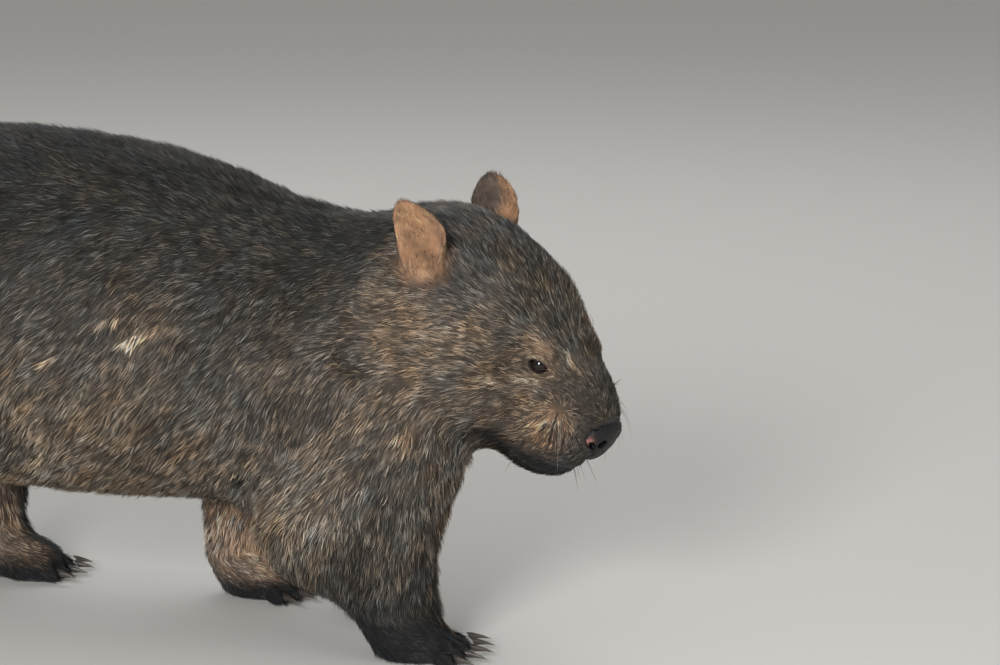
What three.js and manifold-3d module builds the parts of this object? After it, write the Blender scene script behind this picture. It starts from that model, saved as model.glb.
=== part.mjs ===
// A bare-nosed wombat at life size, walking with its head low and turned a little to its right.
//
// Millimetres, +Z up, +X towards the head and +Y to the animal's left. The solids reach out to the tips of
// the coat. The flesh is one smooth field of named masses. It is meshed node by node, and flat joins with a
// thin gap part the head, neck, torso and each length of leg. Ears, nose, eyes, tail and claws have forms of
// their own.

import * as THREE from "three";
import { ConvexGeometry } from "three/addons/geometries/ConvexGeometry.js";
import { mergeVertices } from "three/addons/utils/BufferGeometryUtils.js";
import Module from "manifold-3d";

const wasm = await Module();
wasm.setup();

// Driving dimensions of the animal

const BACK_HEIGHT = 418;
const BELLY_HEIGHT = 104;
const TRUNK_WIDTH = 300;
const RUMP_X = -520;
const CHEST_X = 232;

const HEAD_LENGTH = 232;
const HEAD_WIDTH = 176;
const HEAD_DEPTH = 158;
const EAR_HEIGHT = 52;
const EAR_WIDTH = 49;
const EYE_RADIUS = 8.6;

const UPPER_ARM = 100;
const FOREARM = 90;
const FEMUR = 136;
const SHIN = 112;
const FOREPAW_WIDTH = 68;
const HINDFOOT_LENGTH = 98;
const FORECLAW = 22;
const HINDCLAW = 18;

// The gap that nodes keep where they meet face to face, and the shortest edge that a surface keeps

const GAP = 0.3;
const SHORTEST_EDGE = 0.15;

const vec = (x, y, z) => new THREE.Vector3(x, y, z);
const radians = THREE.MathUtils.degToRad;
const lerp = THREE.MathUtils.lerp;

// Fields: each form is a function of x, y, z that is below zero inside

function ellipsoid(centre, radii, turn = new THREE.Euler()) {
  const back = new THREE.Matrix4().makeRotationFromEuler(turn).transpose();
  const q = vec(0, 0, 0);
  return (x, y, z) => {
    q.set(x - centre.x, y - centre.y, z - centre.z).applyMatrix4(back);
    const whole = Math.hypot(q.x / radii.x, q.y / radii.y, q.z / radii.z);
    const slope = Math.hypot(q.x / radii.x ** 2, q.y / radii.y ** 2, q.z / radii.z ** 2);
    return slope > 0 ? (whole * (whole - 1)) / slope : -Math.min(radii.x, radii.y, radii.z);
  };
}

function roundedCone(from, to, radiusFrom, radiusTo) {
  const along = to.clone().sub(from);
  const lengthSquared = along.lengthSq();
  return (x, y, z) => {
    const dot = (x - from.x) * along.x + (y - from.y) * along.y + (z - from.z) * along.z;
    const t = THREE.MathUtils.clamp(dot / lengthSquared, 0, 1);
    const away = Math.hypot(x - from.x - t * along.x, y - from.y - t * along.y, z - from.z - t * along.z);
    return away - lerp(radiusFrom, radiusTo, t);
  };
}

// Joins fields with a fillet about as wide as the softness
function blend(softness, ...forms) {
  return (x, y, z) => {
    let nearest = forms[0](x, y, z);
    for (const form of forms.slice(1)) {
      const next = form(x, y, z);
      const overlap = Math.max(softness - Math.abs(nearest - next), 0) / softness;
      nearest = Math.min(nearest, next) - (overlap * overlap * softness) / 4;
    }
    return nearest;
  };
}

// Presses a form into a field, as an eye socket is pressed into a head
function press(softness, field, form) {
  return (x, y, z) => {
    const a = field(x, y, z);
    const b = -form(x, y, z);
    const overlap = Math.max(softness - Math.abs(a - b), 0) / softness;
    return Math.max(a, b) + (overlap * overlap * softness) / 4;
  };
}

// A field given in a placed group's own axes, read in the body's
function placedField(matrix, form) {
  const back = matrix.clone().invert();
  const q = vec(0, 0, 0);
  return (x, y, z) => {
    q.set(x, y, z).applyMatrix4(back);
    return form(q.x, q.y, q.z);
  };
}

// Grid lines from low to high, whose spacing runs from one step to another
function gridLines(low, high, stepLow, stepHigh = stepLow) {
  const count = Math.ceil((2 * (high - low)) / (stepLow + stepHigh));
  const ease = (stepHigh - stepLow) / (stepHigh + stepLow);
  return Array.from({ length: count + 1 }, (_, i) => {
    const t = i / count;
    return low + (high - low) * (t + ease * (t * t - t));
  });
}

// The closed surface where a field is zero: one vertex in each grid cell that it crosses, drawn onto it
function meshField(field, [xs, ys, zs]) {
  const [nx, ny, nz] = [xs.length, ys.length, zs.length];
  const at = (i, j, k) => (k * ny + j) * nx + i;
  const values = new Float64Array(nx * ny * nz);
  for (let k = 0; k < nz; k++)
    for (let j = 0; j < ny; j++)
      for (let i = 0; i < nx; i++) {
        const edge = i * j * k === 0 || i === nx - 1 || j === ny - 1 || k === nz - 1;
        const value = field(xs[i], ys[j], zs[k]);
        values[at(i, j, k)] = edge ? Math.max(value, 0.5) : value;
      }

  const positions = [];
  const vertexOf = new Int32Array(nx * ny * nz).fill(-1);
  const corners = [0, 1, 2, 3, 4, 5, 6, 7].map((c) => [c & 1, (c >> 1) & 1, c >> 2]);
  for (let k = 0; k < nz - 1; k++)
    for (let j = 0; j < ny - 1; j++)
      for (let i = 0; i < nx - 1; i++) {
        const sum = vec(0, 0, 0);
        let crossings = 0;
        corners.forEach(([a, b, c], one) =>
          [1, 2, 4].forEach((bit) => {
            if (one & bit) return;
            const [d, e, f] = corners[one | bit];
            const v0 = values[at(i + a, j + b, k + c)];
            const v1 = values[at(i + d, j + e, k + f)];
            if (v0 < 0 === v1 < 0) return;
            const t = v0 / (v0 - v1);
            sum.x += lerp(xs[i + a], xs[i + d], t);
            sum.y += lerp(ys[j + b], ys[j + e], t);
            sum.z += lerp(zs[k + c], zs[k + f], t);
            crossings++;
          }),
        );
        if (!crossings) continue;
        sum.divideScalar(crossings);
        settle(field, sum, xs[i + 1] - xs[i]);
        vertexOf[at(i, j, k)] = positions.length / 3;
        positions.push(sum.x, sum.y, sum.z);
      }

  const index = [];
  const quad = (a, b, c, d, flip) => {
    if (flip) index.push(a, c, b, a, d, c);
    else index.push(a, b, c, a, c, d);
  };
  for (let k = 0; k < nz - 1; k++)
    for (let j = 0; j < ny - 1; j++)
      for (let i = 0; i < nx - 1; i++) {
        const inside = values[at(i, j, k)] < 0;
        const v = (a, b, c) => vertexOf[at(i - a, j - b, k - c)];
        if (inside !== values[at(i + 1, j, k)] < 0)
          quad(v(0, 1, 1), v(0, 0, 1), v(0, 0, 0), v(0, 1, 0), !inside);
        if (inside !== values[at(i, j + 1, k)] < 0)
          quad(v(1, 0, 1), v(1, 0, 0), v(0, 0, 0), v(0, 0, 1), !inside);
        if (inside !== values[at(i, j, k + 1)] < 0)
          quad(v(1, 1, 0), v(0, 1, 0), v(0, 0, 0), v(1, 0, 0), !inside);
      }
  const geometry = new THREE.BufferGeometry();
  geometry.setAttribute("position", new THREE.Float32BufferAttribute(positions, 3));
  geometry.setIndex(index);
  return geometry;
}

// Moves a point onto the field's surface, by no more than half a cell
function settle(field, point, cell) {
  const h = 0.5;
  const start = point.clone();
  for (let step = 0; step < 3; step++) {
    const value = field(point.x, point.y, point.z);
    const slope = fieldSlope(field, point, h);
    point.addScaledVector(slope, -value / Math.max(slope.lengthSq(), 0.2));
  }
  const moved = point.clone().sub(start);
  if (moved.length() > cell / 2) point.copy(start).add(moved.setLength(cell / 2));
}

function fieldSlope(field, p, h = 0.5) {
  return vec(
    field(p.x + h, p.y, p.z) - field(p.x - h, p.y, p.z),
    field(p.x, p.y + h, p.z) - field(p.x, p.y - h, p.z),
    field(p.x, p.y, p.z + h) - field(p.x, p.y, p.z - h),
  ).divideScalar(2 * h);
}

// Where a ray from inside the field leaves it
function surfacePoint(field, from, direction) {
  const way = direction.clone().normalize();
  let near = 0;
  let far = 400;
  const p = vec(0, 0, 0);
  for (let step = 0; step < 40; step++) {
    const middle = (near + far) / 2;
    p.copy(from).addScaledVector(way, middle);
    if (field(p.x, p.y, p.z) < 0) near = middle;
    else far = middle;
  }
  return p;
}

// Solids: closed geometries as manifold-3d bodies, and back

function solid(geometry, matrix) {
  const bare = new THREE.BufferGeometry();
  bare.setAttribute("position", geometry.getAttribute("position").clone());
  if (geometry.getIndex()) bare.setIndex(geometry.getIndex());
  if (matrix) bare.applyMatrix4(matrix);
  const merged = mergeVertices(bare, 1e-4);
  return new wasm.Manifold(
    new wasm.Mesh({
      numProp: 3,
      vertProperties: new Float32Array(merged.getAttribute("position").array),
      triVerts: new Uint32Array(merged.getIndex().array),
    }),
  );
}

function largestBody(body) {
  return body.decompose().reduce((a, b) => (a.volume() > b.volume() ? a : b));
}

// The surface of a body; the ends of an edge shorter than SHORTEST_EDGE become one corner, and the slivers go
function geometryOf(body) {
  const mesh = body.getMesh();
  const points = mesh.vertProperties;
  const corner = (i) => new THREE.Vector3().fromArray(points, 3 * i);
  const keptAs = Array.from({ length: points.length / 3 }, (_, i) => i);
  const kept = (i) => {
    while (keptAs[i] !== i) i = keptAs[i];
    return i;
  };
  const triangles = [];
  for (let i = 0; i < mesh.triVerts.length; i += 3) triangles.push([...mesh.triVerts.slice(i, i + 3)]);
  for (const [a, b, c] of triangles) {
    for (const [from, to] of [[a, b], [b, c], [c, a]]) {
      if (corner(from).distanceTo(corner(to)) < SHORTEST_EDGE) keptAs[kept(to)] = kept(from);
    }
  }
  const faces = new Map();
  for (const triangle of triangles) {
    const face = triangle.map(kept);
    if (new Set(face).size < 3) continue;
    const key = [...face].sort((p, q) => p - q).join();
    if (!faces.delete(key)) faces.set(key, face);
  }
  const geometry = new THREE.BufferGeometry();
  geometry.setAttribute("position", new THREE.BufferAttribute(points, 3));
  geometry.setIndex([...faces.values()].flat());
  geometry.computeVertexNormals();
  return geometry;
}

// The same closed surface moved out along its normals, to cut a neighbour clear of it
function swollen(body, by = GAP) {
  const geometry = geometryOf(body);
  const position = geometry.getAttribute("position");
  const normal = geometry.getAttribute("normal");
  for (let i = 0; i < position.count; i++)
    position.setXYZ(
      i,
      position.getX(i) + by * normal.getX(i),
      position.getY(i) + by * normal.getY(i),
      position.getZ(i) + by * normal.getZ(i),
    );
  return solid(geometry);
}

// Pose: the places of the feet, and how far each shoulder leads or trails

const stance = {
  rightFore: { x: 202, y: -80, toeIn: 7, shoulderLead: 58 },
  leftFore: { x: 20, y: 78, toeIn: -8, shoulderLead: -52 },
  leftHind: { x: -200, y: 86, toeIn: 5 },
  rightHind: { x: -432, y: -92, toeIn: -3 },
};
const WRIST_CUT = 42;
const ANKLE_CUT = 46;

const trunkMiddle = (BACK_HEIGHT + BELLY_HEIGHT) / 2;
const trunkHalfDepth = (BACK_HEIGHT - BELLY_HEIGHT) / 2;
const trunkHalfWidth = TRUNK_WIDTH / 2;

// The joint between two bones, bent towards a direction
function bentJoint(upper, lower, upperBone, lowerBone, towards) {
  const line = lower.clone().sub(upper);
  const span = Math.min(line.length(), (upperBone + lowerBone) * 0.995);
  const way = line.normalize();
  const along = (span ** 2 + upperBone ** 2 - lowerBone ** 2) / (2 * span);
  const out = Math.sqrt(Math.max(upperBone ** 2 - along ** 2, 0));
  const side = towards.clone().addScaledVector(way, -towards.dot(way)).normalize();
  return upper.clone().addScaledVector(way, along).addScaledVector(side, out);
}

// Trunk: pelvis, belly, ribs and shoulders

const trunkField = blend(
  80,
  ellipsoid(vec(RUMP_X + 148, 0, trunkMiddle - 10), vec(148, trunkHalfWidth * 0.96, trunkHalfDepth * 0.88)),
  ellipsoid(vec(RUMP_X + 350, 0, trunkMiddle - 2), vec(225, trunkHalfWidth * 0.99, trunkHalfDepth * 0.97)),
  ellipsoid(vec(-8, 0, trunkMiddle - 21), vec(165, trunkHalfWidth * 0.92, trunkHalfDepth * 0.82)),
  ellipsoid(vec(CHEST_X - 112, 0, trunkMiddle - 58), vec(112, trunkHalfWidth * 0.78, trunkHalfDepth * 0.66)),
);

// Head: its forms are in its own axes, x to the nose and z to the crown

const headGroup = new THREE.Group();
headGroup.position.set(230, -34, 284);
headGroup.rotation.set(radians(1), radians(30), radians(-14), "ZYX");
headGroup.updateMatrix();

const noseX = HEAD_LENGTH * 0.69;
const cheekY = HEAD_WIDTH / 2;
const crownZ = HEAD_DEPTH * 0.4;
const jawZ = crownZ - HEAD_DEPTH;
const mouthZ = -51;
const sides = { left: 1, right: -1 };

const craniumField = blend(
  26,
  ellipsoid(vec(-2, 0, 0), vec(72, 63, crownZ)),
  roundedCone(vec(30, 0, crownZ - 44), vec(114, 0, -10), 46, 31),
  ...[-1, 1].map((side) =>
    ellipsoid(vec(36, side * (cheekY - 40), -28), vec(58, 40, 46), new THREE.Euler(0, 0, side * radians(-14))),
  ),
  ...[-1, 1].map((side) => roundedCone(vec(52, side * 40, -26), vec(112, side * 17, -28), 36, 24)),
  ...[-1, 1].map((side) => roundedCone(vec(50, side * 38, 26), vec(88, side * 32, 12), 20, 15)),
);
const muzzleField = blend(
  12,
  ellipsoid(vec(noseX - 46, 0, -22), vec(46, 38, 31)),
  ...[-1, 1].map((side) => ellipsoid(vec(noseX - 36, side * 16, -34), vec(32, 21, 18))),
);
const jawField = blend(
  18,
  roundedCone(vec(20, 0, jawZ + 40), vec(noseX - 54, 0, jawZ + 32), 38, 24),
  ellipsoid(vec(noseX - 44, 0, -61), vec(32, 25, 18)),
);
const socketFields = [-1, 1].map((side) => ellipsoid(vec(96, side * 62, 13), vec(20, 12, 15)));
const headField = socketFields.reduce(
  (field, socket) => press(14, field, socket),
  blend(7, blend(24, craniumField, muzzleField), blend(24, craniumField, jawField)),
);

// Neck: from the withers and the chest to the back of the head

const headBase = vec(-30, 0, -16).applyMatrix4(headGroup.matrix);
const throat = vec(-22, 0, -54).applyMatrix4(headGroup.matrix);
const neckField = blend(
  50,
  roundedCone(vec(84, 0, 232), headBase, 88, 68),
  roundedCone(vec(132, 0, 184), throat, 80, 54),
);

// Legs, from the bone lengths and the places of the feet

const shoulderLean = new THREE.Euler(0, radians(-14), 0);

function foreleg(side, place) {
  const paw = vec(place.x, place.y, 0);
  const wrist = vec(place.x - 20, place.y, WRIST_CUT + 4);
  const shoulder = vec(128 + place.shoulderLead, side * 86, 186);
  const elbow = bentJoint(shoulder, wrist, UPPER_ARM, FOREARM, vec(-1, side * 0.35, -0.2));
  const field = blend(
    26,
    ellipsoid(shoulder.clone().add(vec(-14, -side * 8, 18)), vec(64, 48, 84), shoulderLean),
    roundedCone(shoulder, elbow, 54, 46),
    roundedCone(elbow, wrist, 46, 32),
    roundedCone(shoulder.clone().add(vec(2, 0, -40)), wrist.clone().add(vec(2, 0, 8)), 46, 31),
  );
  return { side, paw, top: shoulder, middle: elbow, low: wrist, field };
}

function hindleg(side, place) {
  const paw = vec(place.x, place.y, 0);
  const ankle = vec(place.x - HINDFOOT_LENGTH * 0.3, place.y, ANKLE_CUT + 4);
  const hip = vec(RUMP_X + 168, side * 76, 232);
  const knee = bentJoint(hip, ankle, FEMUR, SHIN, vec(1, side * 0.5, 0.2));
  const thighTurn = Math.atan2(knee.x - hip.x, hip.z - knee.z);
  const field = blend(
    26,
    ellipsoid(hip.clone().lerp(knee, 0.42), vec(82, 54, 98), new THREE.Euler(0, -thighTurn, 0)),
    roundedCone(hip, knee, 60, 50),
    roundedCone(knee, ankle, 48, 28),
  );
  return { side, paw, top: hip, middle: knee, low: ankle, field };
}

const legs = {
  fore_right: foreleg(-1, stance.rightFore),
  fore_left: foreleg(1, stance.leftFore),
  hind_left: hindleg(1, stance.leftHind),
  hind_right: hindleg(-1, stance.rightHind),
};

// Paws, in their own axes: x to the toes, the sole on the ground under the origin

function pawGroup(place) {
  const group = new THREE.Group();
  group.position.set(place.x, place.y, 0);
  group.rotation.z = radians(place.toeIn);
  group.updateMatrix();
  return group;
}

function toeRow(count, reach, spread, fan, radius) {
  return Array.from({ length: count }, (_, i) => {
    const t = (2 * i) / (count - 1) - 1;
    const way = vec(1, 0, 0).applyAxisAngle(vec(0, 0, 1), t * fan);
    const root = vec(reach * 0.3, t * spread, 16);
    const tip = root.clone().addScaledVector(way, reach * (1 - 0.22 * t * t)).setZ(radius + 0.5);
    return { root, tip, way, radius };
  });
}

const forePawHalf = FOREPAW_WIDTH / 2;
const foreToes = toeRow(5, 28, forePawHalf - 8, radians(20), 7.6);
const hindToes = toeRow(4, 27, 20, radians(12), 7.6);
const forePawField = blend(
  12,
  ellipsoid(vec(0, 0, 12), vec(32, forePawHalf - 2, 19)),
  ellipsoid(vec(-18, 0, 20), vec(24, forePawHalf * 0.84, 24)),
);
const hindPawField = (side) =>
  blend(
    12,
    roundedCone(vec(-HINDFOOT_LENGTH * 0.36, 0, 19), vec(4, 0, 15), 23, 22),
    ellipsoid(vec(10, 0, 12), vec(24, 27, 17)),
    roundedCone(vec(-4, -side * 20, 11), vec(16, -side * 27, 9), 10, 8),
  );

const paws = {
  fore_right: { group: pawGroup(stance.rightFore), form: forePawField, toes: foreToes, claw: FORECLAW },
  fore_left: { group: pawGroup(stance.leftFore), form: forePawField, toes: foreToes, claw: FORECLAW },
  hind_left: { group: pawGroup(stance.leftHind), form: hindPawField(1), toes: hindToes, claw: HINDCLAW },
  hind_right: { group: pawGroup(stance.rightHind), form: hindPawField(-1), toes: hindToes, claw: HINDCLAW },
};

// The whole body's field

const legAndPaw = Object.keys(legs).map((name) =>
  blend(20, legs[name].field, placedField(paws[name].group.matrix, paws[name].form)),
);
const bodyField = blend(30, blend(60, trunkField, neckField), ...legAndPaw);
const coreField = blend(60, trunkField, neckField, placedField(headGroup.matrix, headField));
const neckAndShoulderField = blend(30, coreField, ...legAndPaw);

const inGroup = (field, placed) => {
  const q = vec(0, 0, 0);
  return (x, y, z) => {
    q.set(x, y, z).applyMatrix4(placed.matrix);
    return field(q.x, q.y, q.z);
  };
};

// Cuts: the half of a body in front of a plane, drawn back by half a gap

function before(body, point, normal) {
  const way = normal.clone().normalize();
  return body.trimByPlane([way.x, way.y, way.z], way.dot(point) + GAP / 2);
}
const behind = (body, point, normal) => before(body, point, normal.clone().negate());

const turned = (direction, placed) => direction.clone().transformDirection(placed.matrix);

const neckCut = { point: vec(108, 0, 310), normal: vec(0.82, 0, 0.57) };
const headCut = { point: vec(-50, 0, 0), normal: vec(1, 0, 0.22) };
const headCutInBody = {
  point: headCut.point.clone().applyMatrix4(headGroup.matrix),
  normal: turned(headCut.normal, headGroup),
};

// The head's own surface, with the neck that runs into it, in the head's axes: all that touches it is cut clear
const headRegion = [gridLines(-84, 172, 18, 7.6), gridLines(-100, 100, 10.8), gridLines(-118, 82, 10.8)];
const headAndNeck = inGroup(blend(60, neckField, placedField(headGroup.matrix, headField)), headGroup);
const headWhole = before(solid(meshField(headAndNeck, headRegion)), headCut.point, headCut.normal);
const headSpaceRegion = [gridLines(-90, 180, 20), gridLines(-110, 110, 20), gridLines(-130, 90, 20)];
const headSpaceWhole = solid(meshField((x, y, z) => headAndNeck(x, y, z) - 3, headSpaceRegion));
const headSpace = before(headSpaceWhole, headCut.point, headCut.normal).transform(headGroup.matrix.elements);

// What each leg takes of the body: a rounded outline in the side view, drawn in from the flank
function legCutter(leg, topRadius, lowRadius) {
  const rounds = [
    { at: leg.top, radius: topRadius, inner: 46 },
    { at: leg.middle, radius: lowRadius, inner: 20 },
    { at: vec(leg.paw.x - 8, 0, -30), radius: lowRadius + 14, inner: 12 },
  ];
  const points = rounds.flatMap(({ at, radius, inner }) =>
    Array.from({ length: 16 }, (_, i) => {
      const turn = (i / 16) * 2 * Math.PI;
      const [x, z] = [at.x + radius * Math.cos(turn), at.z + radius * Math.sin(turn)];
      return [vec(x, leg.side * inner, z), vec(x, leg.side * 230, z)];
    }).flat(),
  );
  return solid(new ConvexGeometry(points));
}

const cutters = {
  fore_right: legCutter(legs.fore_right, 62, 56),
  fore_left: legCutter(legs.fore_left, 62, 56),
  hind_left: legCutter(legs.hind_left, 78, 60),
  hind_right: legCutter(legs.hind_right, 78, 60),
};

// Materials

const coatBrown = new THREE.MeshStandardMaterial({ color: 0x57514a, roughness: 0.92, metalness: 0 });
const earSkin = new THREE.MeshStandardMaterial({ color: 0x9c7458, roughness: 0.8, metalness: 0 });
const noseSkin = new THREE.MeshStandardMaterial({ color: 0x2e2825, roughness: 0.55, metalness: 0 });
const clawHorn = new THREE.MeshStandardMaterial({ color: 0x3a3029, roughness: 0.45, metalness: 0 });
const eyeGlass = new THREE.MeshStandardMaterial({ color: 0x1b110c, roughness: 0.08, metalness: 0 });

const group = new THREE.Group();
group.add(headGroup);

function place(name, body, material, parent = group) {
  const mesh = new THREE.Mesh(geometryOf(body), material);
  mesh.name = name;
  parent.add(mesh);
}

// Torso and neck

const withoutLegs = (body) =>
  Object.values(cutters).reduce((left, cutter) => left.subtract(swollen(cutter)), body.subtract(headSpace));

const torsoRegion = [gridLines(-570, 350, 32), gridLines(-210, 210, 28), gridLines(-12, 450, 30)];
const torsoWhole = solid(meshField(bodyField, torsoRegion));
const torso = largestBody(behind(withoutLegs(torsoWhole), neckCut.point, neckCut.normal));
place("torso", torso, coatBrown);

const neckRegion = [gridLines(0, 340, 22), gridLines(-190, 190, 22), gridLines(80, 430, 22)];
const neckWhole = solid(meshField(neckAndShoulderField, neckRegion));
const neckFront = before(withoutLegs(neckWhole), neckCut.point, neckCut.normal);
place("neck", largestBody(behind(neckFront, headCutInBody.point, headCutInBody.normal)), coatBrown);

// Legs

for (const [name, leg] of Object.entries(legs)) {
  const reach = 150;
  const region = [
    gridLines(Math.min(leg.paw.x, leg.top.x) - reach, Math.max(leg.paw.x, leg.top.x) + reach, 22),
    leg.side > 0 ? gridLines(-10, 230, 20) : gridLines(-230, 10, 20),
    gridLines(10, 400, 17, 28),
  ];
  const flesh = solid(meshField(bodyField, region)).subtract(headSpace);
  const limb = largestBody(flesh.intersect(cutters[name]));
  const line = leg.low.clone().sub(leg.top);
  const [upperName, lowerName] = name.startsWith("fore") ? ["upper_arm", "forearm"] : ["thigh", "shin"];
  const side = name.split("_")[1];
  const lowCut = vec(0, 0, name.startsWith("fore") ? WRIST_CUT : ANKLE_CUT);
  place(`${upperName}_${side}`, largestBody(behind(limb, leg.middle, line)), coatBrown);
  const lower = before(limb, leg.middle, line);
  place(`${lowerName}_${side}`, largestBody(before(lower, lowCut, vec(0, 0, 1))), coatBrown);
}

// Paws and claws

// A cone along x from the origin, bent down along an arc
function claw(length, thickness) {
  const cone = new THREE.ConeGeometry(thickness, length, 6, 3);
  cone.rotateZ(-Math.PI / 2).translate(length / 2, 0, 0);
  const position = cone.getAttribute("position");
  for (let i = 0; i < position.count; i++) {
    const t = position.getX(i) / length;
    position.setY(i, position.getY(i) * 0.72);
    position.setZ(i, position.getZ(i) - length * 0.26 * t * t + length * 0.12 * t);
  }
  return cone;
}

for (const [name, paw] of Object.entries(paws)) {
  group.add(paw.group);
  const [kind, side] = name.split("_");
  const field = inGroup(bodyField, paw.group);
  const region = [gridLines(-74, 62, 14), gridLines(-56, 56, 14), gridLines(-16, 74, 14)];
  const cutAt = vec(0, 0, kind === "fore" ? WRIST_CUT : ANKLE_CUT);
  const palm = behind(solid(meshField(field, region)), cutAt, vec(0, 0, 1));
  const toes = paw.toes.map((toe) => {
    const pad = new THREE.SphereGeometry(1, 7, 5).rotateZ(Math.PI / 2).scale(16, toe.radius, toe.radius * 1.25);
    pad.rotateY(radians(12)).rotateZ(Math.atan2(toe.way.y, toe.way.x));
    const at = toe.tip.clone().addScaledVector(toe.way, toe.radius - 16);
    return solid(pad.translate(at.x, at.y, toe.radius + 1));
  });
  const body = largestBody(toes.reduce((a, b) => a.add(b), palm).trimByPlane([0, 0, 1], 0));
  place(`${kind === "fore" ? "forepaw" : "hindfoot"}_${side}`, body, coatBrown, paw.group);
  const clear = swollen(body);
  paw.toes.forEach((toe, i) => {
    const rooted = paw.claw * 1.25;
    const matrix = new THREE.Matrix4()
      .makeRotationZ(Math.atan2(toe.way.y, toe.way.x))
      .setPosition(toe.tip.clone().addScaledVector(toe.way, toe.radius - rooted * 0.3).setZ(toe.radius + 1.5));
    const horn = solid(claw(rooted, 4.6), matrix).subtract(clear).trimByPlane([0, 0, 1], 0.4);
    place(`claw_${name}_${i + 1}`, largestBody(horn), clawHorn, paw.group);
  });
}

// Head, with its eyes, nose, mouth and ears, in the head's own axes

let head = headWhole;

for (const [name, side] of Object.entries(sides)) {
  const outward = vec(0.24, side, 0.14).normalize();
  const onCheek = surfacePoint(headField, vec(86, side * 10, 9.8), outward);
  const centre = onCheek.clone().addScaledVector(outward, 0.4 - EYE_RADIUS);
  const facing = new THREE.Matrix4().lookAt(outward, vec(0, 0, 0), vec(0, 0, 1)).setPosition(centre);
  const ball = solid(new THREE.SphereGeometry(EYE_RADIUS, 14, 9), facing);
  const lidBall = solid(new THREE.SphereGeometry(1, 14, 9).scale(14, 11.4, EYE_RADIUS + 2), facing);
  const slit = new THREE.Shape();
  slit.moveTo(-9, 0).quadraticCurveTo(0, 9.6, 9, 0).quadraticCurveTo(0, -8.4, -9, 0);
  const through = new THREE.ExtrudeGeometry(slit, { depth: 24, bevelEnabled: false, curveSegments: 6 });
  const opening = solid(through, facing);
  head = head.add(lidBall).subtract(opening).subtract(swollen(ball));
  place(`eye_${name}`, ball, eyeGlass, headGroup);
}

// Nose pad, set into the muzzle's front, with a nostril on each side
const noseField = blend(
  8,
  ellipsoid(vec(noseX - 10, 0, -21), vec(14, 27, 15)),
  ellipsoid(vec(noseX - 11, 0, -34), vec(12, 17, 14)),
);
const noseRegion = [gridLines(noseX - 32, noseX + 12, 7), gridLines(-32, 32, 7), gridLines(-56, 4, 7)];
let nose = solid(meshField(noseField, noseRegion));
head = head.subtract(swollen(nose));
for (const side of [-1, 1]) {
  const bore = new THREE.SphereGeometry(1, 8, 5).scale(9, 4.8, 4.2);
  bore.rotateZ(side * radians(28)).translate(noseX + 1, side * 12, -23);
  const slit = new THREE.SphereGeometry(1, 8, 5).scale(9, 2.2, 6);
  slit.rotateX(side * radians(-38)).rotateZ(side * radians(52)).translate(noseX - 3, side * 19.5, -26);
  nose = nose.subtract(solid(bore)).subtract(solid(slit));
}
const philtrum = new THREE.BoxGeometry(10, 1.6, 24).translate(noseX + 4, 0, -44);
place("nose", largestBody(nose.subtract(solid(philtrum))), noseSkin, headGroup);

// Mouth line, round the front of the muzzle from corner to corner
const mouthLine = Array.from({ length: 17 }, (_, i) => {
  const turn = radians(lerp(-100, 100, i / 16));
  const from = vec(noseX - 52, 0, mouthZ);
  return surfacePoint(headField, from, vec(Math.cos(turn), Math.sin(turn), -0.1));
});
const alongMouth = (radius, points) =>
  solid(
    new THREE.ExtrudeGeometry(new THREE.Shape().absarc(0, 0, radius, 0, 2 * Math.PI), {
      steps: 20,
      curveSegments: 3,
      extrudePath: new THREE.CatmullRomCurve3(points),
    }),
  );
const lips = alongMouth(4.4, mouthLine.slice(1, -1).map((point) => point.clone().add(vec(-1.6, 0, 0))));
head = head.add(lips.subtract(swollen(nose))).subtract(alongMouth(1.8, mouthLine));

// Ears: a rolled leaf, open to the side and front, its tip drawn back and its root in the head
function earShell(sweep) {
  const leaf = new THREE.BoxGeometry(2, 1, 1, 8, 1, 8);
  const position = leaf.getAttribute("position");
  for (let i = 0; i < position.count; i++) {
    const across = position.getX(i);
    const back = position.getY(i) < 0 ? 1 : 0;
    const up = 1 - (0.5 - position.getZ(i)) ** 1.4;
    const widest = 0.37;
    const past = Math.max(0, (up - widest) / (1.01 - widest));
    const round = up < widest ? 1 - 0.3 * (1 - up / widest) ** 2 : (1 - past ** 3.4) ** 0.7;
    const curl = radians(lerp(160, 42, Math.min(1, up * 1.7)));
    const radius = ((EAR_WIDTH / 2) * round) / curl;
    const thick = back * lerp(6.5, 3, up) * (1 - 0.35 * across * across);
    const angle = across * curl;
    position.setXYZ(
      i,
      (radius + thick) * Math.sin(angle) - sweep * past ** 3,
      radius - (radius + thick) * Math.cos(angle),
      (up * 1.28 - 0.28) * EAR_HEIGHT,
    );
  }
  return leaf;
}

// Each ear is turned on its own: the right one forward with its tip swept back, the left one further back
const earPoses = {
  right: { seat: vec(-21, -58, 36), pitch: radians(-35), sweep: -EAR_WIDTH * 0.33 },
  left: { seat: vec(-34, 58, 30), pitch: radians(-29), sweep: 0 },
};

const headClear = swollen(head);
for (const [name, side] of Object.entries(sides)) {
  const { seat, pitch, sweep } = earPoses[name];
  const turn = new THREE.Matrix4().makeRotationFromEuler(
    new THREE.Euler(radians(side * -10), pitch, radians(90 * (1 - side) + side * -8), "XYZ"),
  );
  turn.setPosition(seat);
  const root = new THREE.SphereGeometry(1, 10, 6).scale(EAR_WIDTH * 0.34, 11, 20).translate(0, 5, -7);
  const ear = solid(earShell(sweep), turn).add(solid(root, turn)).subtract(headClear);
  place(`ear_${name}`, largestBody(ear), earSkin, headGroup);
}
place("head", largestBody(head), coatBrown, headGroup);

// Tail: a short stub under the rump's coat

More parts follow.
